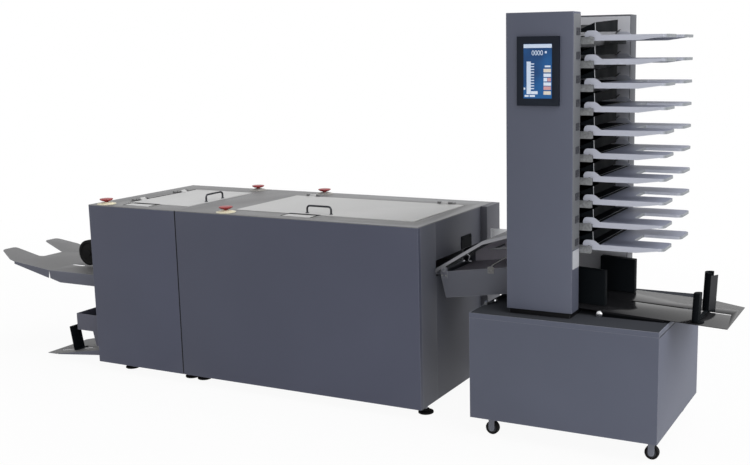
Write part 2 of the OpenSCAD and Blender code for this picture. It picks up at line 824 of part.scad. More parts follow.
module stitch_heads() color("gray") {
    block([stitch_x - stitch_beam[0] / 2, plate_front + RUN, beam_bottom],
          [stitch_x + stitch_beam[0] / 2, plate_rear - RUN, beam_bottom + stitch_beam[1]]);
    for (s = [-1, 1]) {
        y = paper_line + s * stitch_spread;
        half = stitch_head / 2;
        block([stitch_x - half, y - half, stitch_bottom + stitch_nose[2]], [stitch_x + half, y + half, beam_bottom]);
        block([stitch_x - stitch_nose[0] / 2, y - stitch_nose[1] / 2, stitch_bottom],
              [stitch_x + stitch_nose[0] / 2, y + stitch_nose[1] / 2, stitch_bottom + stitch_nose[2]]);
    }
}

module clincher_bar() color("silver")
    block([stitch_x - clincher_bar_size[0] / 2, plate_front + FIT, deck_height - deck_sheet - clincher_bar_size[1]],
          [stitch_x + clincher_bar_size[0] / 2, plate_rear - FIT, deck_height - deck_sheet - FIT]);

module wire_spools() color("goldenrod") {
    flange = 3;
    half = 15;
    bar_y(spool_x, plate_front - side_plate, plate_rear + side_plate, spool_z, spool_shaft_r);
    for (s = [-1, 1]) {
        y = paper_line + s * stitch_spread;
        bar_y(spool_x, y - half, y + half, spool_z, spool_r - 8);
        for (e = [y - half, y + half - flange]) bar_y(spool_x, e, e + flange, spool_z, spool_r);
    }
}

module fold_knife() color("silver") {
    end = 15;
    block([fold_x - knife_bar[0] / 2, plate_front + RUN, beam_bottom],
          [fold_x + knife_bar[0] / 2, plate_rear - RUN, beam_bottom + knife_bar[1]]);
    block([fold_x - knife_sheet / 2, plate_front + end, knife_bottom],
          [fold_x + knife_sheet / 2, plate_rear - end, beam_bottom]);
}

// Fold roller with its journals in the side plates
module fold_roller_at(x) color([0.2, 0.2, 0.2]) {
    end_gap = 2;
    bar_y(x, plate_front - side_plate, plate_rear + side_plate, roller_z, journal_r);
    bar_y(x, plate_front + end_gap, plate_rear - end_gap, roller_z, fold_roller / 2);
}

module fold_roller_left() fold_roller_at(fold_x - roller_offset);

module fold_roller_right() fold_roller_at(fold_x + roller_offset);

module delivery_wheel() color([0.06, 0.06, 0.06]) {
    y0 = wheel_y - wheel_width / 2;
    bar_y(wheel_x, y0, y0 + wheel_width, wheel_z, delivery_wheel_d / 2);
    bar_y(wheel_x, y0, y0 + wheel_width + ADD + wheel_arm_sheet + 2, wheel_z, wheel_shaft_r);
}

module waste_chute() color([0.31, 0.32, 0.36]) {
    bracket = [88, 16];
    bracket_bottom = lower_root + sheet;
    difference() {
        block([-chute_reach, chute_y[0], chute_bottom], [-FIT, chute_y[1], chute_bottom + chute_height]);
        block([-chute_reach + sheet, chute_y[0] + sheet, chute_bottom + sheet],
              [ADD, chute_y[1] - sheet, chute_bottom + chute_height + ADD]);
    }
    side_profile([[-FIT, chute_bottom], [-FIT, bracket_bottom], [bracket[1] - bracket[0], bracket_bottom],
                  [-bracket[0], chute_bottom]], chute_y[0], chute_y[0] + sheet);
}

// Points that round the corner b between a and c
function round_corner(a, b, c, reach) =
    let (to_a = (a - b) / norm(a - b), to_c = (c - b) / norm(c - b))
    [b + reach * to_a, b + EASE_MIDDLE * reach * (to_a + to_c), b + reach * to_c];

// Fork outline of the catch tray, seen from above
module catch_outline() {
    side = [catch_tip + prong_chamfer, catch_width / 2];
    outer = [catch_tip, prong_tip_out];
    inner = [catch_tip, prong_tip_in];
    root = [catch_bend_2 + notch_past_bend, prong_root];
    half = concat([[-FIT, catch_width / 2], side], round_corner(side, outer, inner, prong_ease),
                  round_corner(outer, inner, root, prong_ease), round_corner(inner, root, [root[0], 0], prong_ease));
    polygon(concat([for (p = half) [p[0], paper_line - p[1]]],
                   [for (i = [len(half) - 1:-1:0]) [half[i][0], paper_line + half[i][1]]]));
}

// Side lip of the catch tray, with a V-shaped relief notch at the first bend
module catch_lip_at(y0) {
    side_profile([[-FIT, catch_height - sheet / 2], [catch_bend_1 + ADD, catch_height - sheet / 2],
                  [catch_bend_1 + catch_lip_relief, catch_height - catch_lip_bend],
                  [catch_bend_1 + catch_lip_taper, catch_height - catch_lip], [-FIT, catch_height - catch_lip]],
                 y0, y0 + sheet);
    side_profile([[catch_bend_1, catch_height - sheet / 2], [catch_bend_2, catch_z_1 - sheet / 2],
                  [catch_bend_2, catch_z_1 - catch_lip_tip],
                  [catch_bend_1 - catch_lip_relief, catch_height - catch_lip_bend]],
                 y0, y0 + sheet);
}

module catch_tray() color([0.44, 0.44, 0.45]) {
    intersection() {
        side_profile([[0, catch_height], [catch_bend_1, catch_height], [catch_bend_2, catch_z_1],
                      [catch_tip, catch_z_2], [catch_tip, catch_z_2 - sheet],
                      [catch_bend_2, catch_z_1 - sheet], [catch_bend_1, catch_height - sheet],
                      [0, catch_height - sheet]],
                     catch_front, catch_rear);
        plan(0, maker_height) difference() {
            catch_outline();
            oblong(catch_slot[0], catch_slot[1], paper_line - catch_slot_off_line, catch_slot_r);
        }
    }
    catch_lip_at(catch_front);
    catch_lip_at(catch_rear - sheet);
}

module lower_tray() color([0.44, 0.44, 0.45]) {
    slot_x = [tray_stop_x - tray_stop_travel[0] - slot_width, tray_stop_x + tray_stop_travel[1] + 2 * slot_width];
    slot_y = tray_stop_y + tray_stop_width / 2;
    corner_x = -lower_reach + lower_chamfer[0];
    lip_x = corner_x + 12;
    intersection() {
        side_profile([[-FIT, lower_z(-FIT)], [-lower_reach, lower_z(-lower_reach)],
                      [-lower_reach, lower_z(-lower_reach) - sheet], [-FIT, lower_z(-FIT) - sheet]],
                     lower_y[0], lower_y[1]);
        plan(0, maker_height) difference() {
            polygon([[0, lower_y[0]], [corner_x, lower_y[0]], [-lower_reach, lower_y[0] + lower_chamfer[1]],
                     [-lower_reach, lower_y[1] - lower_chamfer[1]], [corner_x, lower_y[1]], [0, lower_y[1]]]);
            translate([slot_x[0], slot_y - slot_width / 2]) square([slot_x[1] - slot_x[0], slot_width]);
        }
    }
    for (y = [lower_y[0], lower_y[1] - sheet])
        side_profile([[-FIT, lower_z(-FIT) - sheet / 2], [lip_x, lower_z(lip_x) - sheet / 2],
                      [lip_x, lower_z(lip_x) - 2 * sheet], [-FIT, lower_z(0) - lower_lip_drop]], y, y + sheet);
}

module lower_tray_stop() color([0.06, 0.06, 0.06])
    translate([tray_stop_x, tray_stop_y, lower_z(tray_stop_x)]) rotate([0, -lower_angle, 0]) {
        under = -sheet - RUN;
        neck_y = tray_stop_width / 2;
        neck = slot_width / 2 - RUN;
        thick = tray_stop_sheet;
        block([-thick, 0, RUN], [0, tray_stop_width, tray_stop_height]);
        block([-thick, 0, RUN], [8 * thick, tray_stop_width, RUN + thick]);
        block([0, neck_y - neck, under - thick], [4 * thick, neck_y + neck, RUN]);
        block([-2 * thick, neck_y - 2 * neck, under - thick], [6 * thick, neck_y + 2 * neck, under]);
    }

module bridge_body() color([0.31, 0.32, 0.35]) {
    under_cover = [0, -sheet - cover_over_plate];
    lower_edge = [[bridge_x1, bridge_end_height - bridge_plate], [bridge_x0 + bridge_slant, bridge_height - bridge_plate]];
    front_edge = [[bridge_x0, bridge_height], [bridge_x1, bridge_end_height]];
    rear_edge = [[bridge_x0, bridge_height], [cover_hinge_x, cover_z(cover_hinge_x)] + under_cover,
                 [cover_bend_x, cover_bend_z] + under_cover, [bridge_x1, cover_z(bridge_x1)] + under_cover];
    side_profile(concat(front_edge, lower_edge), bridge_y[0], bridge_y[0] + sheet);
    side_profile(concat(rear_edge, lower_edge), bridge_y[1] - sheet, bridge_y[1]);
    bed_x0 = bridge_x0 + bridge_slant;
    bed = [[bed_x0, bridge_z(bed_x0) - bed_drop], [bridge_x1, bridge_end_height - bed_drop]];
    floor = [[bed_x0, bridge_z(bridge_x0) - bridge_plate + sheet],
             [bridge_x1, bridge_end_height - bridge_plate + sheet]];
    for (face = [bed, floor])
        side_profile([face[0], face[1], face[1] - [0, sheet], face[0] - [0, sheet]],
                     bridge_y[0] + sheet, bridge_y[1] - sheet);
    for (end = [[bed_x0, bed[0][1], floor[0][1]], [bridge_x1 - sheet, bed[1][1] - sheet, floor[1][1] - sheet]])
        block([end[0], bridge_y[0] + sheet, end[2]], [end[0] + sheet, bridge_y[1] - sheet, end[1]]);
    side_profile([[deck_end + FIT, deck_height], bed[0] + [sheet, 0], bed[0] + [sheet, -sheet],
                  [deck_end + FIT, deck_height - sheet]], infeed_mouth_y[0] + 2 * sheet, bridge_y[1] - sheet);
    for (s = [-1, 1]) cover_bracket(s);
}

// Bracket with the pin that the bridge cover turns on
module cover_bracket(side) {
    y_face = side < 0 ? bridge_y[0] : bridge_y[1];
    y_out = y_face + side * (cover_side_gap + 2 * sheet);
    block([cover_hinge_x - 12, min(y_face, y_face + side * sheet), cover_hinge_z - 32],
          [cover_hinge_x + 14, max(y_face, y_face + side * sheet), cover_hinge_z + 9]);
    bar_y(cover_hinge_x, min(y_face, y_out), max(y_face, y_out), cover_hinge_z, cover_pin_r);
}

module bridge_cover() color([0.6, 0.6, 0.6]) {
    y = [bridge_y[0] - cover_side_gap - sheet, bridge_y[1] + cover_side_gap + sheet];
    upper = [[cover_x0, cover_z(cover_x0)], [cover_bend_x, cover_bend_z], [cover_x1, cover_end_z]];
    side_profile([upper[0], upper[1], upper[2], upper[2] - [0, sheet], upper[1] - [0, sheet], upper[0] - [0, sheet]],
                 y[0], y[1]);
    middle = [0, sheet / 2];
    flange = [0, cover_flange];
    ear_x = [cover_hinge_x - cover_ear, cover_hinge_x + cover_ear];
    for (y0 = [y[0], y[1] - sheet])
        difference() {
            union() {
                side_profile([upper[0] - middle, upper[1] - middle, upper[2] - middle,
                              upper[2] - flange, upper[1] - flange, upper[0] - flange], y0, y0 + sheet);
                side_profile([[ear_x[0], cover_hinge_z], [ear_x[0], cover_z(ear_x[0]) - sheet],
                              [ear_x[1], cover_z(ear_x[1]) - sheet], [ear_x[1], cover_hinge_z]], y0, y0 + sheet);
                bar_y(cover_hinge_x, y0, y0 + sheet, cover_hinge_z, cover_ear);
            }
            bar_y(cover_hinge_x, y0 - ADD, y0 + sheet + ADD, cover_hinge_z, cover_pin_r + BORE);
        }
}

module collator_cabinet() color([0.35, 0.36, 0.40]) {
    seam_z = collator_top - collator_lid_height;
    panel([collator_x[0], collator_y[0], caster_height], [collator_x[1], collator_y[1], seam_z], [0, 0, 1]);
    panel([collator_x[0], collator_y[0], seam_z + FIT], [collator_x[1], collator_y[1], collator_top], [0, 0, -1]);
    bar_z(lever_at[0], lever_at[1], collator_top - sheet / 2, collator_top + lever_pin_height, lever_pin_r);
}

// Corner positions of the casters: front left, front right, rear left, rear right
function caster_at(k) = [
    k % 2 == 1 ? collator_x[0] + (k <= 2 ? caster_inset[0] : rear_caster_inset)
               : collator_x[1] - (k <= 2 ? caster_inset[0] : rear_caster_inset),
    k <= 2 ? collator_y[0] + caster_inset[1] : collator_y[1] - caster_inset[1]];

// Fork with its axle, below z = top, at a caster's swivel axis
module fork(at, top) {
    gap = caster_width / 2 + ADD;
    x = at[0] + caster_trail;
    ear = 11;
    block([at[0] - caster_trail, at[1] - gap - fork_sheet, top - fork_crown],
          [x + ear, at[1] + gap + fork_sheet, top]);
    for (y = [at[1] - gap - fork_sheet, at[1] + gap]) {
        block([x - ear, y, caster_wheel_d / 2], [x + ear, y + fork_sheet, top - fork_crown]);
        bar_y(x, y, y + fork_sheet, caster_wheel_d / 2, ear);
    }
    bar_y(x, at[1] - gap - fork_sheet, at[1] + gap + fork_sheet, caster_wheel_d / 2, caster_axle_r);
}

module caster_mounts() color("silver")
    for (k = [1:4]) {
        at = caster_at(k);
        half = 28;
        block([at[0] - half, at[1] - half, caster_height - caster_plate],
              [at[0] + half, at[1] + half, caster_height - FIT]);
        if (k <= 2)
            bar_z(at[0], at[1], fork_top - fork_crown - ADD, caster_height - caster_plate, kingpin_r);
        else
            fork(at, caster_height - caster_plate);
    }

module caster_fork(k) color("silver")
    difference() {
        fork(caster_at(k), fork_top);
        bar_z(caster_at(k)[0], caster_at(k)[1], fork_top - fork_crown - ADD, fork_top + ADD, kingpin_r + BORE);
    }

module caster_wheel(k) color([0.15, 0.15, 0.15]) {
    at = caster_at(k);
    x = at[0] + caster_trail;
    difference() {
        bar_y(x, at[1] - caster_width / 2, at[1] + caster_width / 2, caster_wheel_d / 2, caster_wheel_d / 2);
        bar_y(x, at[1] - caster_width, at[1] + caster_width, caster_wheel_d / 2, caster_axle_r + BORE);
    }
}

module tower_frame() color([0.2, 0.2, 0.22]) {
    slot_inset = 20;
    panel([tower_x0 + base_inset, column_front + base_inset, collator_top + FIT],
          [tower_x1 - base_inset, rear_back - base_inset, tower_bottom - FIT], [0, 0, -1]);
    difference() {
        shell([tower_x0, column_back + FIT, tower_bottom], [spine_x1, rear_front - FIT, tower_top]);
        block([tower_x0 - ADD, bridge_y[0] + slot_inset, set_slot_z[0]],
              [tower_x0 + sheet + ADD, bridge_y[1] - slot_inset, set_slot_z[1]]);
        for (k = [1:BIN_COUNT])
            block([spine_x1 - sheet - ADD, feed_y[0] + slot_inset, bin_z(k) + 1],
                  [spine_x1 + ADD, feed_y[1] - slot_inset, bin_z(k) + feed_throat - 1]);
    }
}

module tower_front_column() color([0.35, 0.36, 0.40])
    shell([tower_x0, column_front, tower_bottom], [tower_x1, column_back, tower_top]);

module tower_rear_column() color([0.33, 0.34, 0.38])
    shell([tower_x0, rear_front, tower_bottom], [tower_x1 + rear_reach, rear_back, tower_top]);

module touch_screen() color([0.08, 0.08, 0.09]) {
    low = [tower_x0 + screen_from_left, column_front - screen_depth, tower_top - screen_drop - screen_size[1]];
    high = [low[0] + screen_size[0], column_front - FIT, tower_top - screen_drop];
    difference() {
        block(low, high);
        block([low[0] + screen_rim, low[1] - ADD, low[2] + screen_rim],
              [high[0] - screen_rim, low[1] + 1, high[2] - screen_rim]);
    }
}

// Feed housing above each bin's throat, and the table that carries the sheets below it
module feed_units() color([0.07, 0.07, 0.07])
    for (k = [1:BIN_COUNT]) {
        x = [spine_x1 + FIT, bin_x0 - feed_set_back];
        shell([x[0], feed_y[0], bin_z(k) + feed_throat],
              [bin_x0 - feed_housing_set_back, feed_y[0] + feed_housing_width, bin_z(k) + feed_throat + feed_height]);
        block([x[0], feed_y[0], bin_z(k) - sheet - feed_table], [x[1], feed_y[1], bin_z(k) - sheet]);
    }

// Brackets on both columns, each with the pin that a bin hooks over
module bin_brackets() color("silver")
    for (k = [1:BIN_COUNT]) {
        pin_z = bin_z(k) - bin_pin_drop;
        root_x = tower_x1 - bracket_root;
        gap = 2;
        past = 3;
        for (rear = [false, true]) {
            y = rear ? [bin_y[1] + gap, rear_front - FIT] : [column_back + FIT, bin_y[0] - gap];
            pin_y = rear ? [bin_y[1] - sheet - past, y[1]] : [y[0], bin_y[0] + sheet + past];
            block([root_x, y[0], pin_z - bin_pin / 2 - bracket_height],
                  [flange_start - RUN, y[1], pin_z + bracket_over_pin]);
            bar_y(bin_pin_x, pin_y[0], pin_y[1], pin_z, bin_pin / 2);
        }
    }

// Hook at the end of a bin's flange, open downwards over the pin
module bin_hook(y0, z, flange) {
    pin_z = z - bin_pin_drop;
    grip = bin_pin / 2 + RUN;
    difference() {
        side_profile([[bin_tip - bin_corner, z - sheet], [bin_tip - bin_corner - sheet, z - 2 * sheet],
                      [bin_tip - flange_taper, z - flange], [flange_start, z - flange],
                      [flange_start, pin_z], [bin_pin_x - hook_reach, pin_z],
                      [bin_pin_x - hook_reach, z + hook_rise - 5], [bin_pin_x - hook_reach + 5, z + hook_rise],
                      [flange_start + 6, z + hook_rise], [bin_x0, z], [bin_x0, z - sheet]],
                     y0, y0 + sheet);
        bar_y(bin_pin_x, y0 - ADD, y0 + sheet + ADD, pin_z, grip);
    }
}

module bin_tray(k) color([0.47, 0.48, 0.52]) {
    z = bin_z(k);
    third = bin_width / 3;
    plan(z - sheet, z) difference() {
        union() {
            rounded_rect([bin_x0, bin_y[0]], [bin_tip, bin_y[1]], bin_corner);
            translate([bin_x0, bin_y[0]]) square([bin_length / 2, bin_width]);
        }
        rounded_rect([bin_tip - bin_slot, bin_y[0] + third], [bin_tip + bin_slot, bin_y[1] - third], bin_corner);
    }
    bin_hook(bin_y[0], z, bin_flange);
    bin_hook(bin_y[1] - sheet, z, bin_flange);
}

module stacker_tray() color([0.42, 0.42, 0.43]) {
    slot_x = [tower_x1 + stacker_slot_start, stacker_tip - 2 * slot_width];
    rest_x = [tower_x1 + rear_reach + base_inset, collator_x[1] - 2 * base_inset];
    intersection() {
        side_profile([[stacker_x0, stacker_z(stacker_x0)], [stacker_tip, stacker_z(stacker_tip)],
                      [stacker_tip, stacker_z(stacker_tip) - sheet], [stacker_x0, stacker_z(stacker_x0) - sheet]],
                     stacker_y[0], stacker_y[1]);
        plan(0, maker_height) difference() {
            polygon([[stacker_x0, stacker_y[0]], [stacker_tip, stacker_y[0]],
                     [stacker_tip, stacker_y[1] - stacker_chamfer[1]],
                     [stacker_tip - stacker_chamfer[0], stacker_y[1]], [stacker_x0, stacker_y[1]]]);
            translate([slot_x[0], stacker_slot_y - slot_width / 2]) square([slot_x[1] - slot_x[0], slot_width]);
        }
    }
    for (y = [stacker_y[0], stacker_y[1] - sheet])
        side_profile([[rest_x[0], stacker_z(rest_x[0]) - sheet / 2], [rest_x[1], stacker_z(rest_x[1]) - sheet / 2],
                      [rest_x[1], collator_top + FIT], [rest_x[0], collator_top + FIT]], y, y + sheet);
}

// Sliding stop with two posts, held in the tray's slot
module stacker_stop() color([0.2, 0.2, 0.22])
    translate([stacker_stop_x, stacker_slot_y, stacker_z(stacker_stop_x)]) rotate([0, atan(stacker_slope), 0]) {
        under = -sheet - RUN;
        foot = 3;
        neck = slot_width / 2 - RUN;
        block([-slot_width, stop_post_y[0], RUN], [0, stop_post_y[1], RUN + foot]);
        stop_post(stop_post_y[0], foot, stacker_front_post);
        stop_post(stop_post_y[1], foot, stacker_rear_post);
        block([-slot_width, -neck, under - foot], [0, neck, RUN]);
        block([-1.5 * slot_width, -2 * neck, under - foot], [slot_width / 2, 2 * neck, under]);
    }

// Half-round channel on a foot, open towards the tip of the tray
module stop_post(y, foot, height)
    difference() {
        bar_z(0, y, RUN, height, stop_post_r);
        bar_z(0, y, RUN + foot, height + ADD, stop_post_r - stop_post_wall);
        block([stop_post_wall, y - stop_post_r - ADD, RUN + foot], [2 * stop_post_r, y + stop_post_r + ADD, height + ADD]);
    }

module stack_guides() color([0.05, 0.05, 0.05]) {
    for (g = [[guide_front_x, stacker_y[0] + guide_front_inset], [guide_rear_x, stacker_y[1] - guide_rear_inset]]) {
        x = g[0];
        side_profile([[x[0], stacker_z(x[0]) + FIT], [x[1], stacker_z(x[1]) + FIT],
                      [x[1], stacker_z(x[1]) + guide_height], [x[0], stacker_z(x[0]) + guide_height]],
                     g[1], g[1] + guide_thick);
    }
}

module lock_lever() color("silver") {
    hub_r = 9;
    hub_height = 11;
    rod_r = 4;
    knob_r = 7;
    translate([lever_at[0], lever_at[1], collator_top + RUN]) rotate([0, 0, -lever_rest_angle])
        difference() {
            union() {
                bar_z(0, 0, 0, hub_height, hub_r);
                bar_y(0, (lever_pin_r + hub_r) / 2, lever_arm, hub_height / 2, rod_r);
                translate([0, lever_arm, hub_height - rod_r / 2]) sphere(knob_r);
            }
            bar_z(0, 0, -ADD, hub_height + ADD, lever_pin_r + BORE);
        }
}

on_floor() base_frames();
on_floor() front_panels();
on_floor() rear_panels();
on_floor() end_panels();
on_floor() top_frames();
on_floor() lid_hinges();
on_floor() trimmer_lid();
on_floor() trimmer_lid_handle();
on_floor() stitcher_lid();
on_floor() stitcher_lid_handle();
on_floor() levelling_feet();
on_floor() estop_bases();
for (k = [1:4])
    on_floor() estop_button(stop_positions[k - 1]);
on_floor() lower_blade();
on_floor() upper_blade();
on_floor() paper_deck();
on_floor() stitch_heads();
on_floor() clincher_bar();
on_floor() wire_spools();
on_floor() fold_knife();
on_floor() fold_roller_left();
on_floor() fold_roller_right();
on_floor() delivery_wheel();
on_floor() waste_chute();
on_floor() catch_tray();
on_floor() lower_tray();
on_floor() lower_tray_stop();
on_floor() bridge_body();
on_floor() bridge_cover();
on_floor() collator_cabinet();
on_floor() caster_mounts();
for (k = [1:2])
    on_floor() caster_fork(k);
for (k = [1:4])
    on_floor() caster_wheel(k);
on_floor() tower_frame();
on_floor() tower_front_column();
on_floor() tower_rear_column();
on_floor() touch_screen();
on_floor() feed_units();
on_floor() bin_brackets();
for (k = [1:BIN_COUNT])
    on_floor() bin_tray(k);
on_floor() stacker_tray();
on_floor() stacker_stop();
on_floor() stack_guides();
on_floor() lock_lever();
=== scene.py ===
import json
import math

import bmesh
import bpy
import numpy as np
from mathutils import Matrix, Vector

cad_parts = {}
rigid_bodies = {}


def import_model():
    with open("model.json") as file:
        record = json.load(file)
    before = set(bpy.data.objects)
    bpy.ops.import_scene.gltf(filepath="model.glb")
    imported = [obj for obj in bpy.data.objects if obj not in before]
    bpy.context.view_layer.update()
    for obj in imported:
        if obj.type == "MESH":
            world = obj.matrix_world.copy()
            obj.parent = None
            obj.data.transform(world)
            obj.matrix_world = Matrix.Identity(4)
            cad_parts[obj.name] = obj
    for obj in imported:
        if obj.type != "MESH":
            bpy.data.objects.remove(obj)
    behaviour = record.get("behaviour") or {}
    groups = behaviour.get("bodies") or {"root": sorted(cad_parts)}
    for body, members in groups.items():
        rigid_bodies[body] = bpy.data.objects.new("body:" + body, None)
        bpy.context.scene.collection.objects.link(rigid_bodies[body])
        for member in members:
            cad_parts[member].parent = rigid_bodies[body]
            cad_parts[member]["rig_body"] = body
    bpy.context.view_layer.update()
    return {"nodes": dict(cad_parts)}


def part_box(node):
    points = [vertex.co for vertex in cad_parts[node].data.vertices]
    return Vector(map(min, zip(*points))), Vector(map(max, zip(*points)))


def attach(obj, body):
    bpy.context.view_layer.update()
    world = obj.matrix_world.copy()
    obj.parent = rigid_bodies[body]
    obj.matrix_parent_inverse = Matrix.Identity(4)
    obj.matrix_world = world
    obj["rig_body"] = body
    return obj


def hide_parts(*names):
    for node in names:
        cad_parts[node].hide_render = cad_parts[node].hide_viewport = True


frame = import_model()

# Studio
# A pale floor that turns white away from the machine, a white surround, a broad lamp high on the right, a
# low lamp beside the camera, and a camera at eye height to the right of the line. None of it belongs to the
# machine.
MM = 0.001
line_corner = np.array([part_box("front_panels")[0].x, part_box("front_panels")[0].y, 0.0])


def place(points):
    """Points in metres, from millimetres off the trimmer's front left corner on the floor."""
    return line_corner + np.asarray(points, float) * MM


def linear(red, green, blue):
    """A colour of 0 to 255 steps as linear light, with full opacity."""
    steps = np.array([red, green, blue]) / 255
    light = np.where(steps <= 0.04045, steps / 12.92, ((steps + 0.055) / 1.055) ** 2.4)
    return (*light, 1.0)


def put(tree, kind, sockets=None, **settings):
    """One shader node: settings are its own properties, and sockets gives each input a value or a link."""
    made = tree.nodes.new("ShaderNode" + kind)
    for name, value in settings.items():
        setattr(made, name, value)
    for name, value in (sockets or {}).items():
        if isinstance(value, bpy.types.NodeSocket):
            tree.links.new(value, made.inputs[name])
        else:
            made.inputs[name].default_value = value
    return made


def seen_ray(tree):
    """1 for rays that show the surround: from the camera, from gloss and through glass."""
    path = put(tree, "LightPath")
    shown = put(tree, "Math", {0: path.outputs["Is Camera Ray"], 1: path.outputs["Is Glossy Ray"]},
                operation="MAXIMUM")
    return put(tree, "Math", {0: shown.outputs[0], 1: path.outputs["Is Transmission Ray"]},
               operation="MAXIMUM").outputs[0]


def studio_floor():
    """A square floor whose white share grows with the distance from the machine, so that only the shadow
    shows. Inside the stitcher and trimmer, away from their edges, it is plain paint and lies in the dark."""
    half = 40.0
    near, far, white_near, squeeze = 1.6, 3.6, 0.94, (0.55, 1.0, 1.0)
    inside_low, inside_high, fade = place((60, 260, 0)), place((1540, 660, 0)), 0.08
    mesh = bpy.data.meshes.new("studio_floor")
    corners = [(-half, -half, 0), (half, -half, 0), (half, half, 0), (-half, half, 0)]
    mesh.from_pydata(corners, [], [(0, 1, 2, 3)])
    finish = bpy.data.materials.new("studio_floor_paint")
    finish.use_nodes = True
    tree = finish.node_tree
    tree.nodes.remove(tree.nodes["Principled BSDF"])
    centre = put(tree, "TexCoord").outputs["Object"]
    squeezed = put(tree, "Mapping", {"Vector": centre, "Scale": squeeze})
    away = put(tree, "VectorMath", {0: squeezed.outputs[0]}, operation="LENGTH")
    white = put(tree, "MapRange", {"Value": away.outputs["Value"], "From Min": near, "From Max": far,
                                   "To Min": white_near, "To Max": 1.0}, interpolation_type="SMOOTHSTEP")
    offset = put(tree, "VectorMath", {0: centre, 1: (inside_low + inside_high) / 2}, operation="SUBTRACT")
    reach = put(tree, "VectorMath", {0: offset.outputs[0]}, operation="ABSOLUTE")
    half_inside = (inside_high - inside_low) / 2
    beyond = put(tree, "VectorMath", {0: reach.outputs[0], 1: half_inside}, operation="SUBTRACT")
    over = put(tree, "SeparateXYZ", {"Vector": beyond.outputs[0]})
    worst = put(tree, "Math", {0: over.outputs["X"], 1: over.outputs["Y"]}, operation="MAXIMUM")
    outside = put(tree, "MapRange", {"Value": worst.outputs[0], "From Min": -fade, "From Max": 0.0})
    open_white = put(tree, "Math", {0: white.outputs[0], 1: outside.outputs[0]}, operation="MULTIPLY")
    share = put(tree, "Math", {0: open_white.outputs[0], 1: seen_ray(tree)}, operation="MULTIPLY")
    matt = put(tree, "BsdfDiffuse", {"Color": linear(232, 232, 232)})
    glow = put(tree, "Emission", {"Color": (1, 1, 1, 1), "Strength": 1.0})
    both = put(tree, "MixShader", {0: share.outputs[0], 1: matt.outputs[0], 2: glow.outputs[0]})
    tree.links.new(both.outputs[0], tree.nodes["Material Output"].inputs["Surface"])
    mesh.materials.append(finish)
    floor = bpy.data.objects.new("studio_floor", mesh)
    bpy.context.scene.collection.objects.link(floor)


def studio_light():
    """White surround to look at, dimmer as a light, a wide lamp at the upper right and a low one in front."""
    surround_light = 0.4
    lamps = (("broad_lamp", 2.6, 70, (0.72, -0.04, 0.70)), ("camera_lamp", 0.95, 50, (0.42, -0.90, 0.08)))
    scene = bpy.context.scene
    scene.view_settings.view_transform = "Standard"
    world = scene.world or bpy.data.worlds.new("studio")
    scene.world = world
    world.use_nodes = True
    tree = world.node_tree
    tree.nodes.clear()
    dim = put(tree, "Background", {"Color": (1, 1, 1, 1), "Strength": surround_light})
    white = put(tree, "Background", {"Color": (1, 1, 1, 1), "Strength": 1.0})
    both = put(tree, "MixShader", {0: seen_ray(tree), 1: dim.outputs[0], 2: white.outputs[0]})
    out = put(tree, "OutputWorld")
    tree.links.new(both.outputs[0], out.inputs["Surface"])
    for name, strength, spread, toward in lamps:
        lamp = bpy.data.lights.new(name, "SUN")
        lamp.energy = strength
        lamp.angle = math.radians(spread)
        holder = bpy.data.objects.new(name, lamp)
        tilt = math.acos(toward[2] / np.linalg.norm(toward))
        holder.rotation_euler = (0, tilt, math.atan2(toward[1], toward[0]))
        scene.collection.objects.link(holder)


def studio_camera():
    """Camera from its place, yaw, pitch and roll, with focal length and centre in pixels of the frame."""
    frame_wide, frame_high, film = 750, 465, 36.0
    eye = place((3333.56, -3301.37, 1380.06))
    yaw, pitch, roll = 0.4467, 0.1702, -0.0123
    focal, centre_across, centre_down = 1035.83, 455.47, 227.78
    ahead = np.array([-math.sin(yaw) * math.cos(pitch), math.cos(yaw) * math.cos(pitch), -math.sin(pitch)])
    level = np.array([math.cos(yaw), math.sin(yaw), 0.0])
    above = np.cross(level, ahead)
    across = math.cos(roll) * level + math.sin(roll) * above
    up = math.cos(roll) * above - math.sin(roll) * level
    turn = np.eye(4)
    turn[:3, :] = np.column_stack([across, up, -ahead, eye])
    lens = bpy.data.cameras.new("view")
    lens.sensor_fit = "HORIZONTAL"
    lens.sensor_width = film
    lens.lens = focal * film / frame_wide
    lens.shift_x = (frame_wide / 2 - centre_across) / frame_wide
    lens.shift_y = (centre_down - frame_high / 2) / frame_wide
    holder = bpy.data.objects.new("view", lens)
    holder.matrix_world = Matrix(turn.tolist())
    bpy.context.scene.collection.objects.link(holder)
    bpy.context.scene.camera = holder


studio_floor()
studio_light()
studio_camera()


def new_finish(name, shine):
    """A node material, its tree and its shader, with the strength of its mirror layer set to shine."""
    finish = bpy.data.materials.new(name)
    finish.use_nodes = True
    shader = finish.node_tree.nodes["Principled BSDF"]
    shader.inputs["Specular IOR Level"].default_value = shine
    return finish, finish.node_tree, shader


def swung(tree, marks, low, high):
    """A value that goes from low to high over the middle of a noise's range."""
    middle_low, middle_high = 0.3, 0.7
    return put(tree, "MapRange", {"Value": marks, "From Min": middle_low, "From Max": middle_high,
                                  "To Min": low, "To Max": high}).outputs[0]


def raised(tree, shader, height, strength, distance):
    """Relief: the height bends the shader's normal."""
    bump = put(tree, "Bump", {"Strength": strength, "Distance": distance, "Height": height})
    tree.links.new(bump.outputs[0], shader.inputs["Normal"])


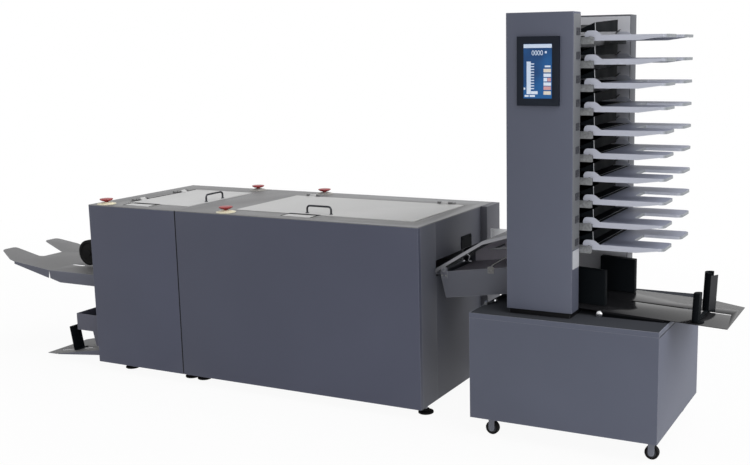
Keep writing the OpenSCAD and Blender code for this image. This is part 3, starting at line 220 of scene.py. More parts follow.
def coat(name, colour, roughness=0.55, peel=0.35, grain=0.0012, mottle=0.05, rub=0.22, shine=0.35,
         upper=None, end=None):
    """Powder coat. Broad noise shifts the tone by the share mottle, fine noise of the size grain raises
    the peel and varies the gloss, and edges, where the rounded normal leaves the true one, turn paler by the
    share rub: partly edge wear and partly a painted edge highlight. Faces that look up take the colour upper,
    and faces that look to the right the colour end, where they are given: painted light and shade on one
    paint, set by the way a face looks."""
    patch, gloss_swing, peel_height = 2.3, 0.06, 0.0002
    edge_reach, edge_start, edge_full, edge_wear_highlight_colour = 0.0025, 0.985, 0.82, linear(208, 210, 216)
    finish, tree, shader = new_finish(name, shine)
    centre = put(tree, "TexCoord").outputs["Object"]
    broad = put(tree, "TexNoise", {"Vector": centre, "Scale": patch, "Detail": 4.0})
    tone = swung(tree, broad.outputs["Fac"], 1 - mottle, 1 + mottle)
    fine = put(tree, "TexNoise", {"Vector": centre, "Scale": 1 / grain, "Detail": 2.0})
    rounded_normal = put(tree, "Bevel", {"Radius": edge_reach}, samples=4)
    true_normal = put(tree, "NewGeometry").outputs["True Normal"]
    along = put(tree, "VectorMath", {0: rounded_normal.outputs[0], 1: true_normal}, operation="DOT_PRODUCT")
    # Paler edges: partly wear, partly a painted edge highlight along the rounded folds.
    worn_and_lit_edge = put(tree, "MapRange", {"Value": along.outputs["Value"], "From Min": edge_start,
                                  "From Max": edge_full, "To Min": 0.0, "To Max": rub})
    # Upward and rightward faces take other colours of the same paint: painted light and shade by facing.
    facing = put(tree, "SeparateXYZ", {"Vector": true_normal})
    painted_top_share = put(tree, "MapRange", {"Value": facing.outputs["Z"], "From Min": 0.6, "From Max": 0.9})
    right = put(tree, "MapRange", {"Value": facing.outputs["X"], "From Min": 0.3, "From Max": 0.8})
    painted_side_tone = put(tree, "Mix", {"Factor": right.outputs[0], "A": colour, "B": end or colour}, data_type="RGBA")
    painted_facing_tone = put(tree, "Mix", {"Factor": painted_top_share.outputs[0], "A": painted_side_tone.outputs["Result"],
                               "B": upper or colour}, data_type="RGBA")
    toned = put(tree, "VectorMath", {0: painted_facing_tone.outputs["Result"], "Scale": tone}, operation="SCALE")
    paler = put(tree, "Mix", {"Factor": worn_and_lit_edge.outputs[0], "A": toned.outputs[0], "B": edge_wear_highlight_colour},
                data_type="RGBA")
    tree.links.new(paler.outputs["Result"], shader.inputs["Base Color"])
    gloss = swung(tree, fine.outputs["Fac"], roughness - gloss_swing, roughness + gloss_swing)
    tree.links.new(gloss, shader.inputs["Roughness"])
    raised(tree, shader, fine.outputs["Fac"], peel, peel_height)
    return finish


def eased(node, radius, finish):
    """A copy of a CAD node with its triangles merged, its flat faces joined, and its edges rounded to the
    radius in millimetres by a bevel, standing for that node."""
    merge_reach, flat_angle, edge_angle = 2e-6, math.radians(0.4), math.radians(32)
    source = frame["nodes"][node]
    mesh = source.data.copy()
    work = bmesh.new()
    work.from_mesh(mesh)
    bmesh.ops.remove_doubles(work, verts=work.verts, dist=merge_reach)
    bmesh.ops.dissolve_limit(work, angle_limit=flat_angle, verts=work.verts, edges=work.edges)
    for face in work.faces:
        face.smooth = True
        face.material_index = 0
    work.to_mesh(mesh)
    work.free()
    mesh.materials.clear()
    mesh.materials.append(finish)
    piece = bpy.data.objects.new(node + "_formed", mesh)
    bpy.context.scene.collection.objects.link(piece)
    rounding = piece.modifiers.new("rounded_edges", "BEVEL")
    rounding.width = radius * MM
    rounding.segments = 2
    rounding.limit_method = "ANGLE"
    rounding.angle_limit = edge_angle
    rounding.harden_normals = True
    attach(piece, source["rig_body"])
    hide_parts(node)
    return piece


frame_paint = coat("frame_paint", linear(64, 65, 70))
eased("base_frames", 0.6, frame_paint)

# Works of the trimmer and stitcher
# Ground tool-steel blades, a zinc-plated deck and knife, machined stitch heads and rubber fold rollers
# between the side plates, and wound stitching wire on spools. Bolted in, and seen only with the lids open.


def surfaced(tree, shader, colour, marks, mottle, roughness, gloss_swing=0.08):
    """Tone and gloss that follow the same marks: the colour swings by the share mottle, and the roughness by
    gloss_swing."""
    tone = swung(tree, marks, 1 - mottle, 1 + mottle)
    toned = put(tree, "VectorMath", {0: colour[:3], "Scale": tone}, operation="SCALE")
    tree.links.new(toned.outputs[0], shader.inputs["Base Color"])
    gloss = swung(tree, marks, roughness - gloss_swing, roughness + gloss_swing)
    tree.links.new(gloss, shader.inputs["Roughness"])


def brushed(name, colour, roughness=0.32, scratch=(900.0, 40.0, 900.0), relief=0.12, mottle=0.08):
    """Bare metal with fine lines: noise stretched along one axis shifts tone, gloss and height together."""
    shine, line_height = 0.5, 0.0001
    finish, tree, shader = new_finish(name, shine)
    centre = put(tree, "TexCoord").outputs["Object"]
    stretched = put(tree, "Mapping", {"Vector": centre, "Scale": scratch})
    lines = put(tree, "TexNoise", {"Vector": stretched.outputs[0], "Scale": 1.0, "Detail": 3.0})
    surfaced(tree, shader, colour, lines.outputs["Fac"], mottle, roughness)
    raised(tree, shader, lines.outputs["Fac"], relief, line_height)
    shader.inputs["Metallic"].default_value = 1.0
    return finish


def moulded(name, colour, roughness=0.45, grain=0.0014, relief=0.4, mottle=0.1, patch=14.0, shine=0.5):
    """Moulded plastic or rubber: small cells give the leather-like grain, and broad noise, patch cells to
    the metre, shifts tone and gloss."""
    cell_height = 0.00015
    finish, tree, shader = new_finish(name, shine)
    centre = put(tree, "TexCoord").outputs["Object"]
    cells = put(tree, "TexVoronoi", {"Vector": centre, "Scale": 1 / grain}, feature="SMOOTH_F1")
    broad = put(tree, "TexNoise", {"Vector": centre, "Scale": patch, "Detail": 5.0})
    surfaced(tree, shader, colour, broad.outputs["Fac"], mottle, roughness)
    raised(tree, shader, cells.outputs["Distance"], relief, cell_height)
    return finish


def sleeve(loops, capped=True):
    """A skin over rows of loops: each loop joins the next by quads, its last point joins its first, and when
    capped the first and last loops are closed by a face. Gives the points, the quads and the caps."""
    loops = np.asarray(loops, float)
    rows, count = loops.shape[:2]
    at = np.arange(rows * count).reshape(rows, count)
    low, high = at[:-1], at[1:]
    quads = np.stack([low, np.roll(low, -1, 1), np.roll(high, -1, 1), high], -1).reshape(-1, 4)
    return loops.reshape(-1, 3), quads, [at[0, ::-1], at[-1]] if capped else []


def turned(profile, foot, axis="z", steps=40, flutes=0, depth=0.0, capped=True):
    """Lathe work: pairs of radius and height carried round an axis through foot. The radius swings by the
    share depth as the cosine of flutes times the angle. A profile that ends where it starts is a ring, and
    takes no caps."""
    radius, rise = np.hsplit(np.asarray(profile, float), 2)
    angle = np.linspace(0, 2 * math.pi, steps, endpoint=False)
    swung = radius * (1 + depth * np.cos(flutes * angle))
    across = np.stack([swung * np.cos(angle), swung * np.sin(angle), rise + 0 * angle], -1)
    order = {"x": (2, 0, 1), "y": (0, 2, 1), "z": (0, 1, 2)}[axis]
    return sleeve(across[..., order] + np.asarray(foot, float), capped)


def fitted(name, parts, finish, body, stands_for=(), sharp=34):
    """One piece from skins in millimetres: joined in one mesh, doubles merged, faces turned outwards, edges
    over the angle sharp kept crisp. It rides on the body and stands for the CAD nodes that are named."""
    merge_reach, thin_reach = 1e-6, 1e-7
    starts = np.cumsum([0] + [len(part[0]) for part in parts])
    points = place(np.concatenate([part[0] for part in parts]))
    quads = np.concatenate([part[1] + start for part, start in zip(parts, starts)]).tolist()
    caps = [(cap + start).tolist() for part, start in zip(parts, starts) for cap in part[2]]
    mesh = bpy.data.meshes.new(name)
    mesh.from_pydata(points.tolist(), [], quads + caps)
    work = bmesh.new()
    work.from_mesh(mesh)
    bmesh.ops.remove_doubles(work, verts=work.verts, dist=merge_reach)
    bmesh.ops.dissolve_degenerate(work, edges=work.edges, dist=thin_reach)
    bmesh.ops.recalc_face_normals(work, faces=work.faces)
    for face in work.faces:
        face.smooth = True
    work.to_mesh(mesh)
    work.free()
    mesh.set_sharp_from_angle(angle=math.radians(sharp))
    mesh.materials.append(finish)
    piece = bpy.data.objects.new(name, mesh)
    bpy.context.scene.collection.objects.link(piece)
    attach(piece, body)
    if stands_for:
        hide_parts(*stands_for)
    return piece


plated = brushed("zinc_plate", linear(170, 172, 178))
ground = brushed("ground_steel", linear(196, 198, 204), roughness=0.24, relief=0.04)
black_moulding = moulded("black_moulding", linear(16, 19, 22), roughness=0.6, shine=0.03)
black_rubber = moulded("black_rubber", linear(11, 11, 12), roughness=0.7, grain=0.0022, shine=0.15)
for works in ("paper_deck", "clincher_bar", "fold_knife"):
    eased(works, 0.3, plated)
for works in ("lower_blade", "upper_blade"):
    eased(works, 0.15, ground)
eased("stitch_heads", 0.8, brushed("machined_alloy", linear(150, 152, 158), scratch=(60.0, 700.0, 700.0)))
for works in ("fold_roller_left", "fold_roller_right"):
    eased(works, 0.8, black_rubber)

spool_coat = moulded("spool_moulding", linear(150, 120, 60), roughness=0.4)
eased("wire_spools", 0.5, spool_coat)
spool_x, spool_z, spool_rows = 1401.5, 640, (185, 335)
half_winding, core_radius, wire_radius, wire_bulge, wire_pitch = 11.6, 34.2, 38.4, 0.5, 1.2
across_spool = np.linspace(-half_winding, half_winding, 59)
wire_ripple = wire_radius + wire_bulge * np.abs(np.cos(math.pi * across_spool / wire_pitch))
core = np.array([(core_radius, -half_winding), (core_radius, half_winding)])
winding = np.vstack([core[:1], np.column_stack([wire_ripple, across_spool]), core[::-1]])
fitted("wire_windings", [turned(winding, (spool_x, y, spool_z), "y", 48, capped=False) for y in spool_rows],
       brushed("stitching_wire", linear(190, 182, 168), scratch=(20.0, 1100.0, 20.0), relief=0.4),
       "wire_spools")

# Cabinet panels
# Folded sheet pans, powder coated charcoal: one front panel to each cabinet, rear panels with pan-head
# screws and the power inlet, and end panels round the mouths. Each hangs on the base frame, and the folds
# have a small radius.


def drawn_in(outline, inset):
    """An anticlockwise outline moved inwards: each corner goes along the sum of its two edges' inward
    directions, lengthened by the mitre between them."""
    ahead = np.roll(outline, -1, 0) - outline
    ahead = ahead / np.linalg.norm(ahead, axis=1, keepdims=True)
    inward = np.column_stack([-ahead[:, 1], ahead[:, 0]])
    before = np.roll(inward, 1, 0)
    mitre = 1 + np.sum(inward * before, 1, keepdims=True)
    return outline + inset * (inward + before) / mitre


def slab(outline, low, high, ease=0.4, plane="xy"):
    """A flat plate: an anticlockwise outline in the plane's two directions, raised from low to high in the
    third, with both rims drawn in by ease."""
    flat = np.asarray(outline, float)
    small = drawn_in(flat, ease)
    rims = [(small, low), (flat, low + ease), (flat, high - ease), (small, high)]
    loops = np.stack([np.column_stack([rim, np.full(len(rim), level)]) for rim, level in rims])
    order = {"xy": (0, 1, 2), "xz": (0, 2, 1), "yz": (2, 0, 1)}[plane]
    return sleeve(loops[..., order])


def oblong(low, high, radius, steps=4):
    """Anticlockwise outline of a rectangle from its low to its high corner, rounded at the corners."""
    (x0, y0), (x1, y1) = low, high
    turn = np.linspace(0, math.pi / 2, steps)
    corners = [(x1 - radius, y1 - radius, 0), (x0 + radius, y1 - radius, 1), (x0 + radius, y0 + radius, 2),
               (x1 - radius, y0 + radius, 3)]
    return np.concatenate([np.column_stack([x + radius * np.cos(turn + quarter * math.pi / 2),
                                            y + radius * np.sin(turn + quarter * math.pi / 2)])
                           for x, y, quarter in corners])


def pan_head(seat, axis, size=5.0, way=1):
    """A pan-head screw with a round drive recess: its head stands on the seat, way along the axis."""
    profile = np.array([(0, 0.2), (0.36, 0.24), (0.4, 0.48), (0.72, 0.46), (0.94, 0.28), (1, 0.02),
                        (1, -0.05)])
    return turned(profile * size * [1, way], seat, axis, 16)


charcoal = coat("charcoal_powder_coat", linear(68, 71, 87))
eased("front_panels", 1.6, charcoal)
eased("rear_panels", 1.2, coat("rear_powder_coat", linear(88, 89, 96)))
eased("end_panels", 0.6, coat("end_panel_powder_coat", linear(87, 89, 98), shine=0.25))

seam = [(467.6, 46), (472.4, 46), (472.4, 741), (467.6, 741)]
fitted("cabinet_seam", [slab(seam, -0.5, 0.4, 0.3, "xz")], black_rubber, "line")
rear_face = 690
screw_rows = (70, 390, 715)
screw_columns = (22, 234, 447, 494, 860, 1225, 1578)
fitted("rear_screws", [pan_head((x, rear_face, z), "y") for x in screw_columns for z in screw_rows], plated,
       "line")
inlet_pins = np.array([(1401.5, 178), (1392.5, 163), (1410.5, 163)])
pin_half, pin_root, pin_tip = np.array([1, 3]), 677.5, 688
fitted("inlet_pins", [slab(oblong(pin - pin_half, pin + pin_half, 0.8), pin_root, pin_tip, 0.3, "xz")
                      for pin in inlet_pins], plated, "line")
# The black plate with two screws on the end panel, above the rear of the mouth, is painted shade: it stands
# for a dark opening in shadow there.
shade_plate = [(368, 594), (463, 594), (463, 640), (456, 646), (368, 646)]
shade_plate_back, shade_plate_face, shade_plate_screws = 1600, 1603, ((380, 636), (448, 636))
fitted("infeed_shade_plate", [slab(shade_plate, shade_plate_back, shade_plate_face, 0.8, "yz")]
       + [pan_head((shade_plate_face, y, z), "x", 4) for y, z in shade_plate_screws], black_moulding, "line")

# Tops, lids and hinges
# Mid grey sheet tops with a sunk ledge round each opening, pale grey lids with a front finger tab, dark
# strips on the tab and the trimmer lid's hinge side and dark bands in the gaps round the lids that are
# painted shade, painted pressed hinges with a pin, and bow handles of bent rod screwed to the lids from
# below.


def round_section(radius, steps=14):
    """Outline of a round bar: points at even angles."""
    angle = np.linspace(0, 2 * math.pi, steps, endpoint=False)
    return radius * np.column_stack([np.cos(angle), np.sin(angle)])


def drawn(path, section, square_to):
    """A section carried along a path: it lies on the two directions square to the path's own direction, the
    first of them also square to the direction square_to."""
    path = np.asarray(path, float)
    ahead = np.gradient(path, axis=0)
    ahead /= np.linalg.norm(ahead, axis=1, keepdims=True)
    first = np.cross(square_to, ahead)
    first /= np.linalg.norm(first, axis=1, keepdims=True)
    second = np.cross(ahead, first)
    across = section[None, :, :1] * first[:, None] + section[None, :, 1:] * second[:, None]
    return sleeve(path[:, None] + across)


def bow_handle(foot, along, length=120, height=34, rod=8, bend=13):
    """A rod that rises, bends along, and bends down again, with a flange round each of its two feet."""
    turn = np.linspace(0, math.pi / 2, 9)
    half, top = length / 2 - rod / 2, height - rod / 2
    rise = np.column_stack([np.full(3, -half), [0, (top - bend) / 2, top - bend - 0.5]])
    corner = np.column_stack([bend - half - bend * np.cos(turn), top - bend + bend * np.sin(turn)])
    left = np.vstack([rise, corner, [[bend - half + 0.5, top]]])
    flat = np.vstack([left, left[::-1] * [-1, 1]])
    along = np.array(along, float)
    path = np.array(foot, float) + flat[:, :1] * along + flat[:, 1:] * [0, 0, 1]
    rod_skin = drawn(path, round_section(rod / 2), np.cross(along, (0, 0, 1)))
    flange = [(rod * 0.52, 0), (rod * 0.9, 0), (rod * 0.95, 0.8), (rod * 0.8, 2.6), (rod * 0.52, 3.2),
              (rod * 0.52, 0)]
    return [rod_skin] + [turned(flange, np.array(foot) + side * half * along, "z", 20, capped=False)
                         for side in (-1, 1)]


def band(outline, width, low, high):
    """A flat band inside an outline: up the outside, across, down the inside and back."""
    outer = np.asarray(outline, float)
    inner = drawn_in(outer, width)
    round_trip = [(outer, low), (outer, high), (inner, high), (inner, low), (outer, low)]
    loops = [np.column_stack([edge, np.full(len(edge), level)]) for edge, level in round_trip]
    return sleeve(np.stack(loops), False)


top_coat = coat("top_powder_coat", linear(110, 110, 111), roughness=0.5)
lid_coat = coat("lid_powder_coat", linear(184, 184, 184), roughness=0.5, rub=0.0)
eased("top_frames", 0.8, top_coat)
eased("lid_hinges", 0.3, top_coat)
handle_steel = brushed("handle_steel", linear(62, 63, 67), roughness=0.3, scratch=(300.0, 300.0, 900.0))
joint_and_gap_shade_rubber = moulded("joint_and_gap_shade_rubber", linear(18, 18, 20), roughness=0.75, shine=0.15)
lid_top, tab_front, lid_front, lid_back = 744, 40, 105, 555
lids = (("trimmer", 125, 453.5, 155, 305, (439.5, 300, lid_top), (0, 1, 0)),
        ("stitcher", 696.5, 1530, 964.5, 1114.5, (1086.5, 137, lid_top), (1, 0, 0)))
# The strips on each tab and along the trimmer lid's hinge side, and the bands in the gaps round each opening,
# are painted shade: dark rubber colour where a step or a gap lies in shadow.
strip_edge, strip_round, strip_wide, strip_gap = 2, 2, 7, 0.3
strip_front, strip_back = lid_front - 16, lid_front + 6
strip_low, strip_high, strip_ease = lid_top - 0.2, lid_top + 0.7, 0.3
gap_shade_width, gap_shade_low, gap_shade_high = 2.2, 733.8, 741.2
gap_shade_bands = []
for cabinet, left, right, tab_left, tab_right, handle_foot, handle_along in lids:
    lid = cabinet + "_lid"
    eased(lid, 0.8, lid_coat)
    fitted(lid + "_handle_formed", bow_handle(handle_foot, handle_along), handle_steel, lid,
           [lid + "_handle"])
    strip_left, strip_right = tab_left + strip_edge, tab_right - strip_edge
    arm_front, arm_back = tab_front + strip_edge, strip_front - strip_gap
    tab_shade_lines = [oblong((strip_left, strip_front), (strip_right, strip_back), strip_round),
                oblong((strip_left, arm_front), (strip_left + strip_wide, arm_back), strip_round),
                oblong((strip_right - strip_wide, arm_front), (strip_right, arm_back), strip_round)]
    fitted(lid + "_tab_shade_strip", [slab(strip, strip_low, strip_high, strip_ease) for strip in tab_shade_lines],
           joint_and_gap_shade_rubber, lid)
    opening = [(tab_left, tab_front), (tab_right, tab_front), (tab_right, lid_front), (right, lid_front),
               (right, lid_back), (left, lid_back), (left, lid_front), (tab_left, lid_front)]
    gap_shade_bands.append(band(opening, gap_shade_width, gap_shade_low, gap_shade_high))
hinge_shade_strip = oblong((127, lid_front + 7), (135, lid_back - 7), strip_round)
fitted("hinge_side_shade_strip", [slab(hinge_shade_strip, strip_low, strip_high, strip_ease)], joint_and_gap_shade_rubber, "trimmer_lid")
fitted("lid_gap_shade_bands", gap_shade_bands, joint_and_gap_shade_rubber, "line")

# Feet and emergency stops
# Rubber-faced levelling feet on threaded stems with a lock nut, and red mushroom push buttons with finger
# flutes on stepped rings, the rear ones darker, each let into the top frame from above.


def threaded(foot, low, high, radius=7.6, depth=0.8, pitch=2.5, steps=20):
    """A screw thread: the radius is a triangle wave of the height in pitches less the turn."""
    rows_per_pitch = 6
    height = np.linspace(low, high, int((high - low) / pitch * rows_per_pitch) + 1)[:, None]
    angle = np.linspace(0, 2 * math.pi, steps, endpoint=False)
    wave = np.abs(2 * np.mod(height / pitch - angle / (2 * math.pi), 1) - 1)
    reach = radius - depth * wave
    return sleeve(np.stack([reach * np.cos(angle), reach * np.sin(angle), height + 0 * angle], -1) + foot)


foot_places = [(x, y, 0.0) for x in (101.1, 437.5, 502.5, 1570.9) for y in (95, 595)]
pad_profile = [(0, 0.1), (28, 0.1), (30, 1.6), (30, 6), (28.6, 8), (25, 9), (17, 9.4), (15, 11), (14.4, 16.6),
               (13, 18), (0, 18)]
fitted("levelling_feet_formed", [turned(pad_profile, foot, steps=48) for foot in foot_places], black_rubber,
       "line", ["levelling_feet"])
hexagon = round_section(13, 6)
stem_low, stem_high, nut_low, nut_high, nut_ease = 18, 41.5, 33, 40, 0.7
fitted("foot_stems", [threaded(np.array(foot), stem_low, stem_high) for foot in foot_places]
       + [slab(hexagon + foot[:2], nut_low, nut_high, nut_ease) for foot in foot_places], plated, "line",
       ["levelling_feet"])

stop_places = ((62, 44), (699.5, 44), (420.5, 646), (786.5, 646))
ring_profile = [(9, 742.2), (40, 742.2), (40, 743.6), (39, 744.6), (31, 745.4), (30, 747.6), (24, 748.4),
                (18.5, 749), (18, 751), (9, 751), (9, 742.2)]
ring_finishes = (("front", stop_places[:2], linear(208, 202, 176)),
                 ("rear", stop_places[2:], linear(136, 134, 130)))
for row, places, ring_colour in ring_finishes:
    ring_moulding = moulded(f"{row}_ring", ring_colour, roughness=0.4, mottle=0.15, patch=120.0)
    fitted(f"estop_rings_{row}", [turned(ring_profile, (x, y, 0), steps=56, capped=False) for x, y in places],
           ring_moulding, "line", ["estop_bases"])
red_moulding = moulded("red_moulding", linear(142, 44, 48), roughness=0.4, mottle=0.25, patch=60.0, shine=0.3)
head_profile = [(0, 745.8), (7.8, 745.8), (7.8, 754.4), (12, 754.9), (19, 756.4), (25, 759.6), (27.6, 762),
                (28, 763.6), (27, 765), (22, 765.9), (0, 766.3)]
for number, (x, y) in enumerate(stop_places, 1):
    button = f"estop_button_{number}"
    fitted(button + "_formed", [turned(head_profile, (x, y, 0), steps=72, flutes=12, depth=0.018)],
           red_moulding, button, [button])

# Delivery end
# Forked catch tray of folded sheet, a ribbed black delivery wheel on its arm, a waste chute, and a lower
# tray with a sliding stop. The trays hook into the end panel, and the chute stands on a bracket.
# The trays' upward faces take a lighter tone than their lips and sides: painted light on one paint.
tray_coat = coat("tray_powder_coat", linear(84, 86, 97), upper=linear(108, 108, 109))
eased("catch_tray", 0.6, tray_coat)
eased("lower_tray", 0.6, tray_coat)
eased("waste_chute", 0.7, coat("chute_powder_coat", linear(78, 79, 92)))
eased("lower_tray_stop", 0.6, black_moulding)
wheel_side = np.array([(12, 12.5), (14, 9), (42, 9), (46, 12.5), (56, 12.5), (58, 10.5), (58, 6), (56.4, 5.2),
                       (56.4, 3.8), (58, 3)])
wheel_boss = [(6, 12.5), (6, 23.5), (0, 23.5)]
wheel_profile = np.vstack([[(0, -12.5)], wheel_side * [1, -1], wheel_side[::-1], wheel_boss])
wheel_middle = (-188, 178, 486)
fitted("delivery_wheel_formed", [turned(wheel_profile, wheel_middle, "y", 72)], black_rubber,
       "delivery_wheel", ["delivery_wheel"])

# Bridge
# Folded conveyor body and an inclined cover with a bright edge strip on two pins, hung between the stitcher
# and the tower. Inside are an upper paper guide and a guide bar on a screwed bracket, and a clear guide
# stands behind.
eased("bridge_body", 0.6, coat("bridge_powder_coat", linear(84, 86, 95)))
eased("bridge_cover", 0.6, coat("cover_powder_coat", linear(112, 113, 118)))
bright_trim = brushed("bright_trim", linear(134, 135, 139), roughness=0.42, scratch=(40.0, 900.0, 900.0))
pale_guide = moulded("pale_guide", linear(222, 223, 225), roughness=0.35)
pale_guide.node_tree.nodes["Principled BSDF"].inputs["Transmission Weight"].default_value = 0.85
cover_line = np.array([(1611, 567), (1806, 686), (1950, 730)])
strip_outline = np.vstack([cover_line - [0, 13.2], cover_line[::-1] - [0, 0.8]])
edge_face, edge_back = 112.9, 114
fitted("cover_edge_strip", [slab(strip_outline, edge_face, edge_back, 0.3, "xz")], bright_trim,
       "bridge_cover")
clip_path = [(1744, 113.4, 642), (1746, 112.6, 634), (1751, 112.4, 631), (1756, 112.4, 627),
             (1754, 112.6, 619), (1750, 112.8, 611), (1754, 113, 607.6), (1763, 113.2, 608)]
fitted("cover_clip", [drawn(clip_path, round_section(1.6, 10), (0, 1, 0))], bright_trim, "bridge_cover")
bracket_outline = oblong((1824, 566), (1850, 592), 3)
guide_bar = [(1834, 121.2, 588), (1846, 124.5, 600), (1894, 125, 630), (1946, 125, 658)]
bridge_screws = [(1638, 118, 543), (1654, 118, 543), (1831, 118.2, 573), (1843, 118.2, 575)]
bracket_grey = coat("bracket_powder_coat", linear(104, 104, 103), mottle=0.2)
bracket_face, bracket_back = 118.2, 119.9
fitted("bridge_guide_bar", [slab(bracket_outline, bracket_face, bracket_back, 0.3, "xz"),
                            drawn(guide_bar, round_section(2.2, 10), (0, 1, 0))]
       + [pan_head(seat, "y", 4.2, -1) for seat in bridge_screws], bracket_grey, "line")
upper_guide = [(1747, 615), (1948, 642.5), (1948, 650), (1747, 622)]
guide_front, guide_back, guide_slope = 300, 302.5, 0.137
guide_stay = [(4, 0), (4, 96)]
stay_feet = [(x, 302.4, 618.5 + (x - 1747) * guide_slope) for x in (1775, 1920)]
fitted("bridge_upper_guide", [slab(upper_guide, guide_front, guide_back, 0.4, "xz")]
       + [turned(guide_stay, foot, "y", 14) for foot in stay_feet], bright_trim, "line")
# The pale plates on the bed and on the inner face of the rear wall are painted light: they lift the shaded
# inside of the bridge.
bed_light_plate = [(1642, 544.3), (1955, 587.2), (1955, 588.2), (1642, 545.3)]
wall_light_plate = [(1650, 547), (1955, 589), (1955, 723), (1806, 678), (1650, 584)]
bed_front, bed_rear, wall_front, wall_rear = 122.6, 397, 397.2, 397.9
fitted("bridge_painted_light_plates", [slab(bed_light_plate, bed_front, bed_rear, 0.2, "xz"),
                         slab(wall_light_plate, wall_front, wall_rear, 0.15, "xz")],
       coat("painted_light_coat", linear(196, 192, 204), rub=0.0), "line")
rear_guide = oblong((1712, 604), (1800, 681), 4)
rear_guide_front, rear_guide_back = 407.4, 409.4
spacer_profile, spacer_feet = [(5, 0), (5, 7.6)], ((1726, 399.9, 610), (1786, 399.9, 622))
fitted("bridge_rear_guide", [slab(rear_guide, rear_guide_front, rear_guide_back, 0.5, "xz")]
       + [turned(spacer_profile, foot, "y", 14) for foot in spacer_feet], pale_guide, "line")

# Collator cabinet and casters
# Folded cabinet with a shallow top pan and a dark joint below it, on painted casters with rubber tyres
# round grey hubs, and a lock lever with a bright knob on the top.
collator_coat = coat("collator_powder_coat", linear(82, 86, 101))
eased("collator_cabinet", 1.6, collator_coat)
# The dark matt sheet over the cabinet top is painted shade: it darkens the top face, which the low light
# leaves dimmer than the front.
top_shade_sheet = [(1832, -58), (2513, -58), (2513, 528), (1832, 528)]
sheet_low, sheet_high = 459.8, 460.4
fitted("collator_top_shade_sheet", [slab(top_shade_sheet, sheet_low, sheet_high, 0.2)],
       coat("top_shade_sheet_coat", linear(64, 66, 71), rub=0.0, shine=0.0), "line")
joint_low, joint_high, joint_deep, joint_ease = 440.4, 443.6, 0.5, 0.15
side_joint = [(-58, joint_low), (528, joint_low), (528, joint_high), (-58, joint_high)]
back_joint = [(1832, joint_low), (2513, joint_low), (2513, joint_high), (1832, joint_high)]
side_faces, back_face = (1829.7, 2514.8), 529.8
joint_strips = [slab(side_joint, face, face + joint_deep, joint_ease, "yz") for face in side_faces]
joint_strips.append(slab(back_joint, back_face, back_face + joint_deep, joint_ease, "xz"))
fitted("cabinet_joint", joint_strips, joint_and_gap_shade_rubber, "line")
caster_steel = coat("caster_paint", linear(108, 111, 121), roughness=0.4)
for part in ("caster_mounts", "caster_fork_1", "caster_fork_2"):
    eased(part, 0.6, caster_steel)
tyre_profile = [(17, -8.5), (18.5, -10), (22.5, -10), (24.6, -8), (25, -5), (25, 5), (24.6, 8), (22.5, 10),
                (18.5, 10), (17, 8.5), (17, -8.5)]
hub_profile = [(4.5, -9.9), (8, -9.9), (9, -7.5), (15, -7.5), (16.9, -8.4), (16.9, 8.4), (15, 7.5), (9, 7.5),
               (8, 9.9), (4.5, 9.9), (4.5, -9.9)]
hub_moulding = moulded("hub_moulding", linear(50, 52, 56), roughness=0.45, shine=0.25)
axle_height = 25
wheel_places = ((1896, -5), (2485, -5), (1924, 475), (2457, 475))
for number, (x, y) in enumerate(wheel_places, 1):
    wheel = f"caster_wheel_{number}"
    axle = (x, y, axle_height)
    fitted(wheel + "_tyre", [turned(tyre_profile, axle, "y", 48, capped=False)], black_rubber, wheel,
           [wheel])
    fitted(wheel + "_hub", [turned(hub_profile, axle, "y", 40, capped=False)], hub_moulding, wheel,
           [wheel])
lever_hub, lever_turn, lever_arm = np.array([1840, 70, 460.3]), math.radians(34), 40
lever_way = np.array([math.sin(lever_turn), math.cos(lever_turn), 0])
hub_ring = [(4.5, 0.1), (8.4, 0.1), (9, 0.8), (9, 10.2), (8.2, 11), (4.5, 11), (4.5, 0.1)]
knob_angle, knob_radius, knob_rise = np.linspace(-math.pi / 2, math.pi / 2, 15), 7, 9
knob_profile = knob_radius * np.column_stack([np.cos(knob_angle), np.sin(knob_angle)])
arm_start, arm_rise = 7, 5.5
arm_path = lever_hub + [0, 0, arm_rise] + np.linspace(arm_start, lever_arm, 6)[:, None] * lever_way
fitted("lock_lever_formed", [turned(hub_ring, lever_hub, steps=32, capped=False),
                             drawn(arm_path, round_section(3.6), (0, 0, 1))],
       brushed("lever_steel", linear(104, 106, 110), roughness=0.45), "lock_lever", ["lock_lever"])
knob_middle = lever_hub + lever_arm * lever_way + [0, 0, knob_rise]
fitted("lock_lever_knob", [turned(knob_profile, knob_middle, steps=24)],
       brushed("knob_steel", linear(206, 208, 212), roughness=0.18), "lock_lever", ["lock_lever"])

# Tower
# Folded front and rear columns, a dark spine with the paper path on a dark foot, and a touch screen on the
# front column. The screen is a glass panel in a black bezel, and shows plain bars, cells and zeros.


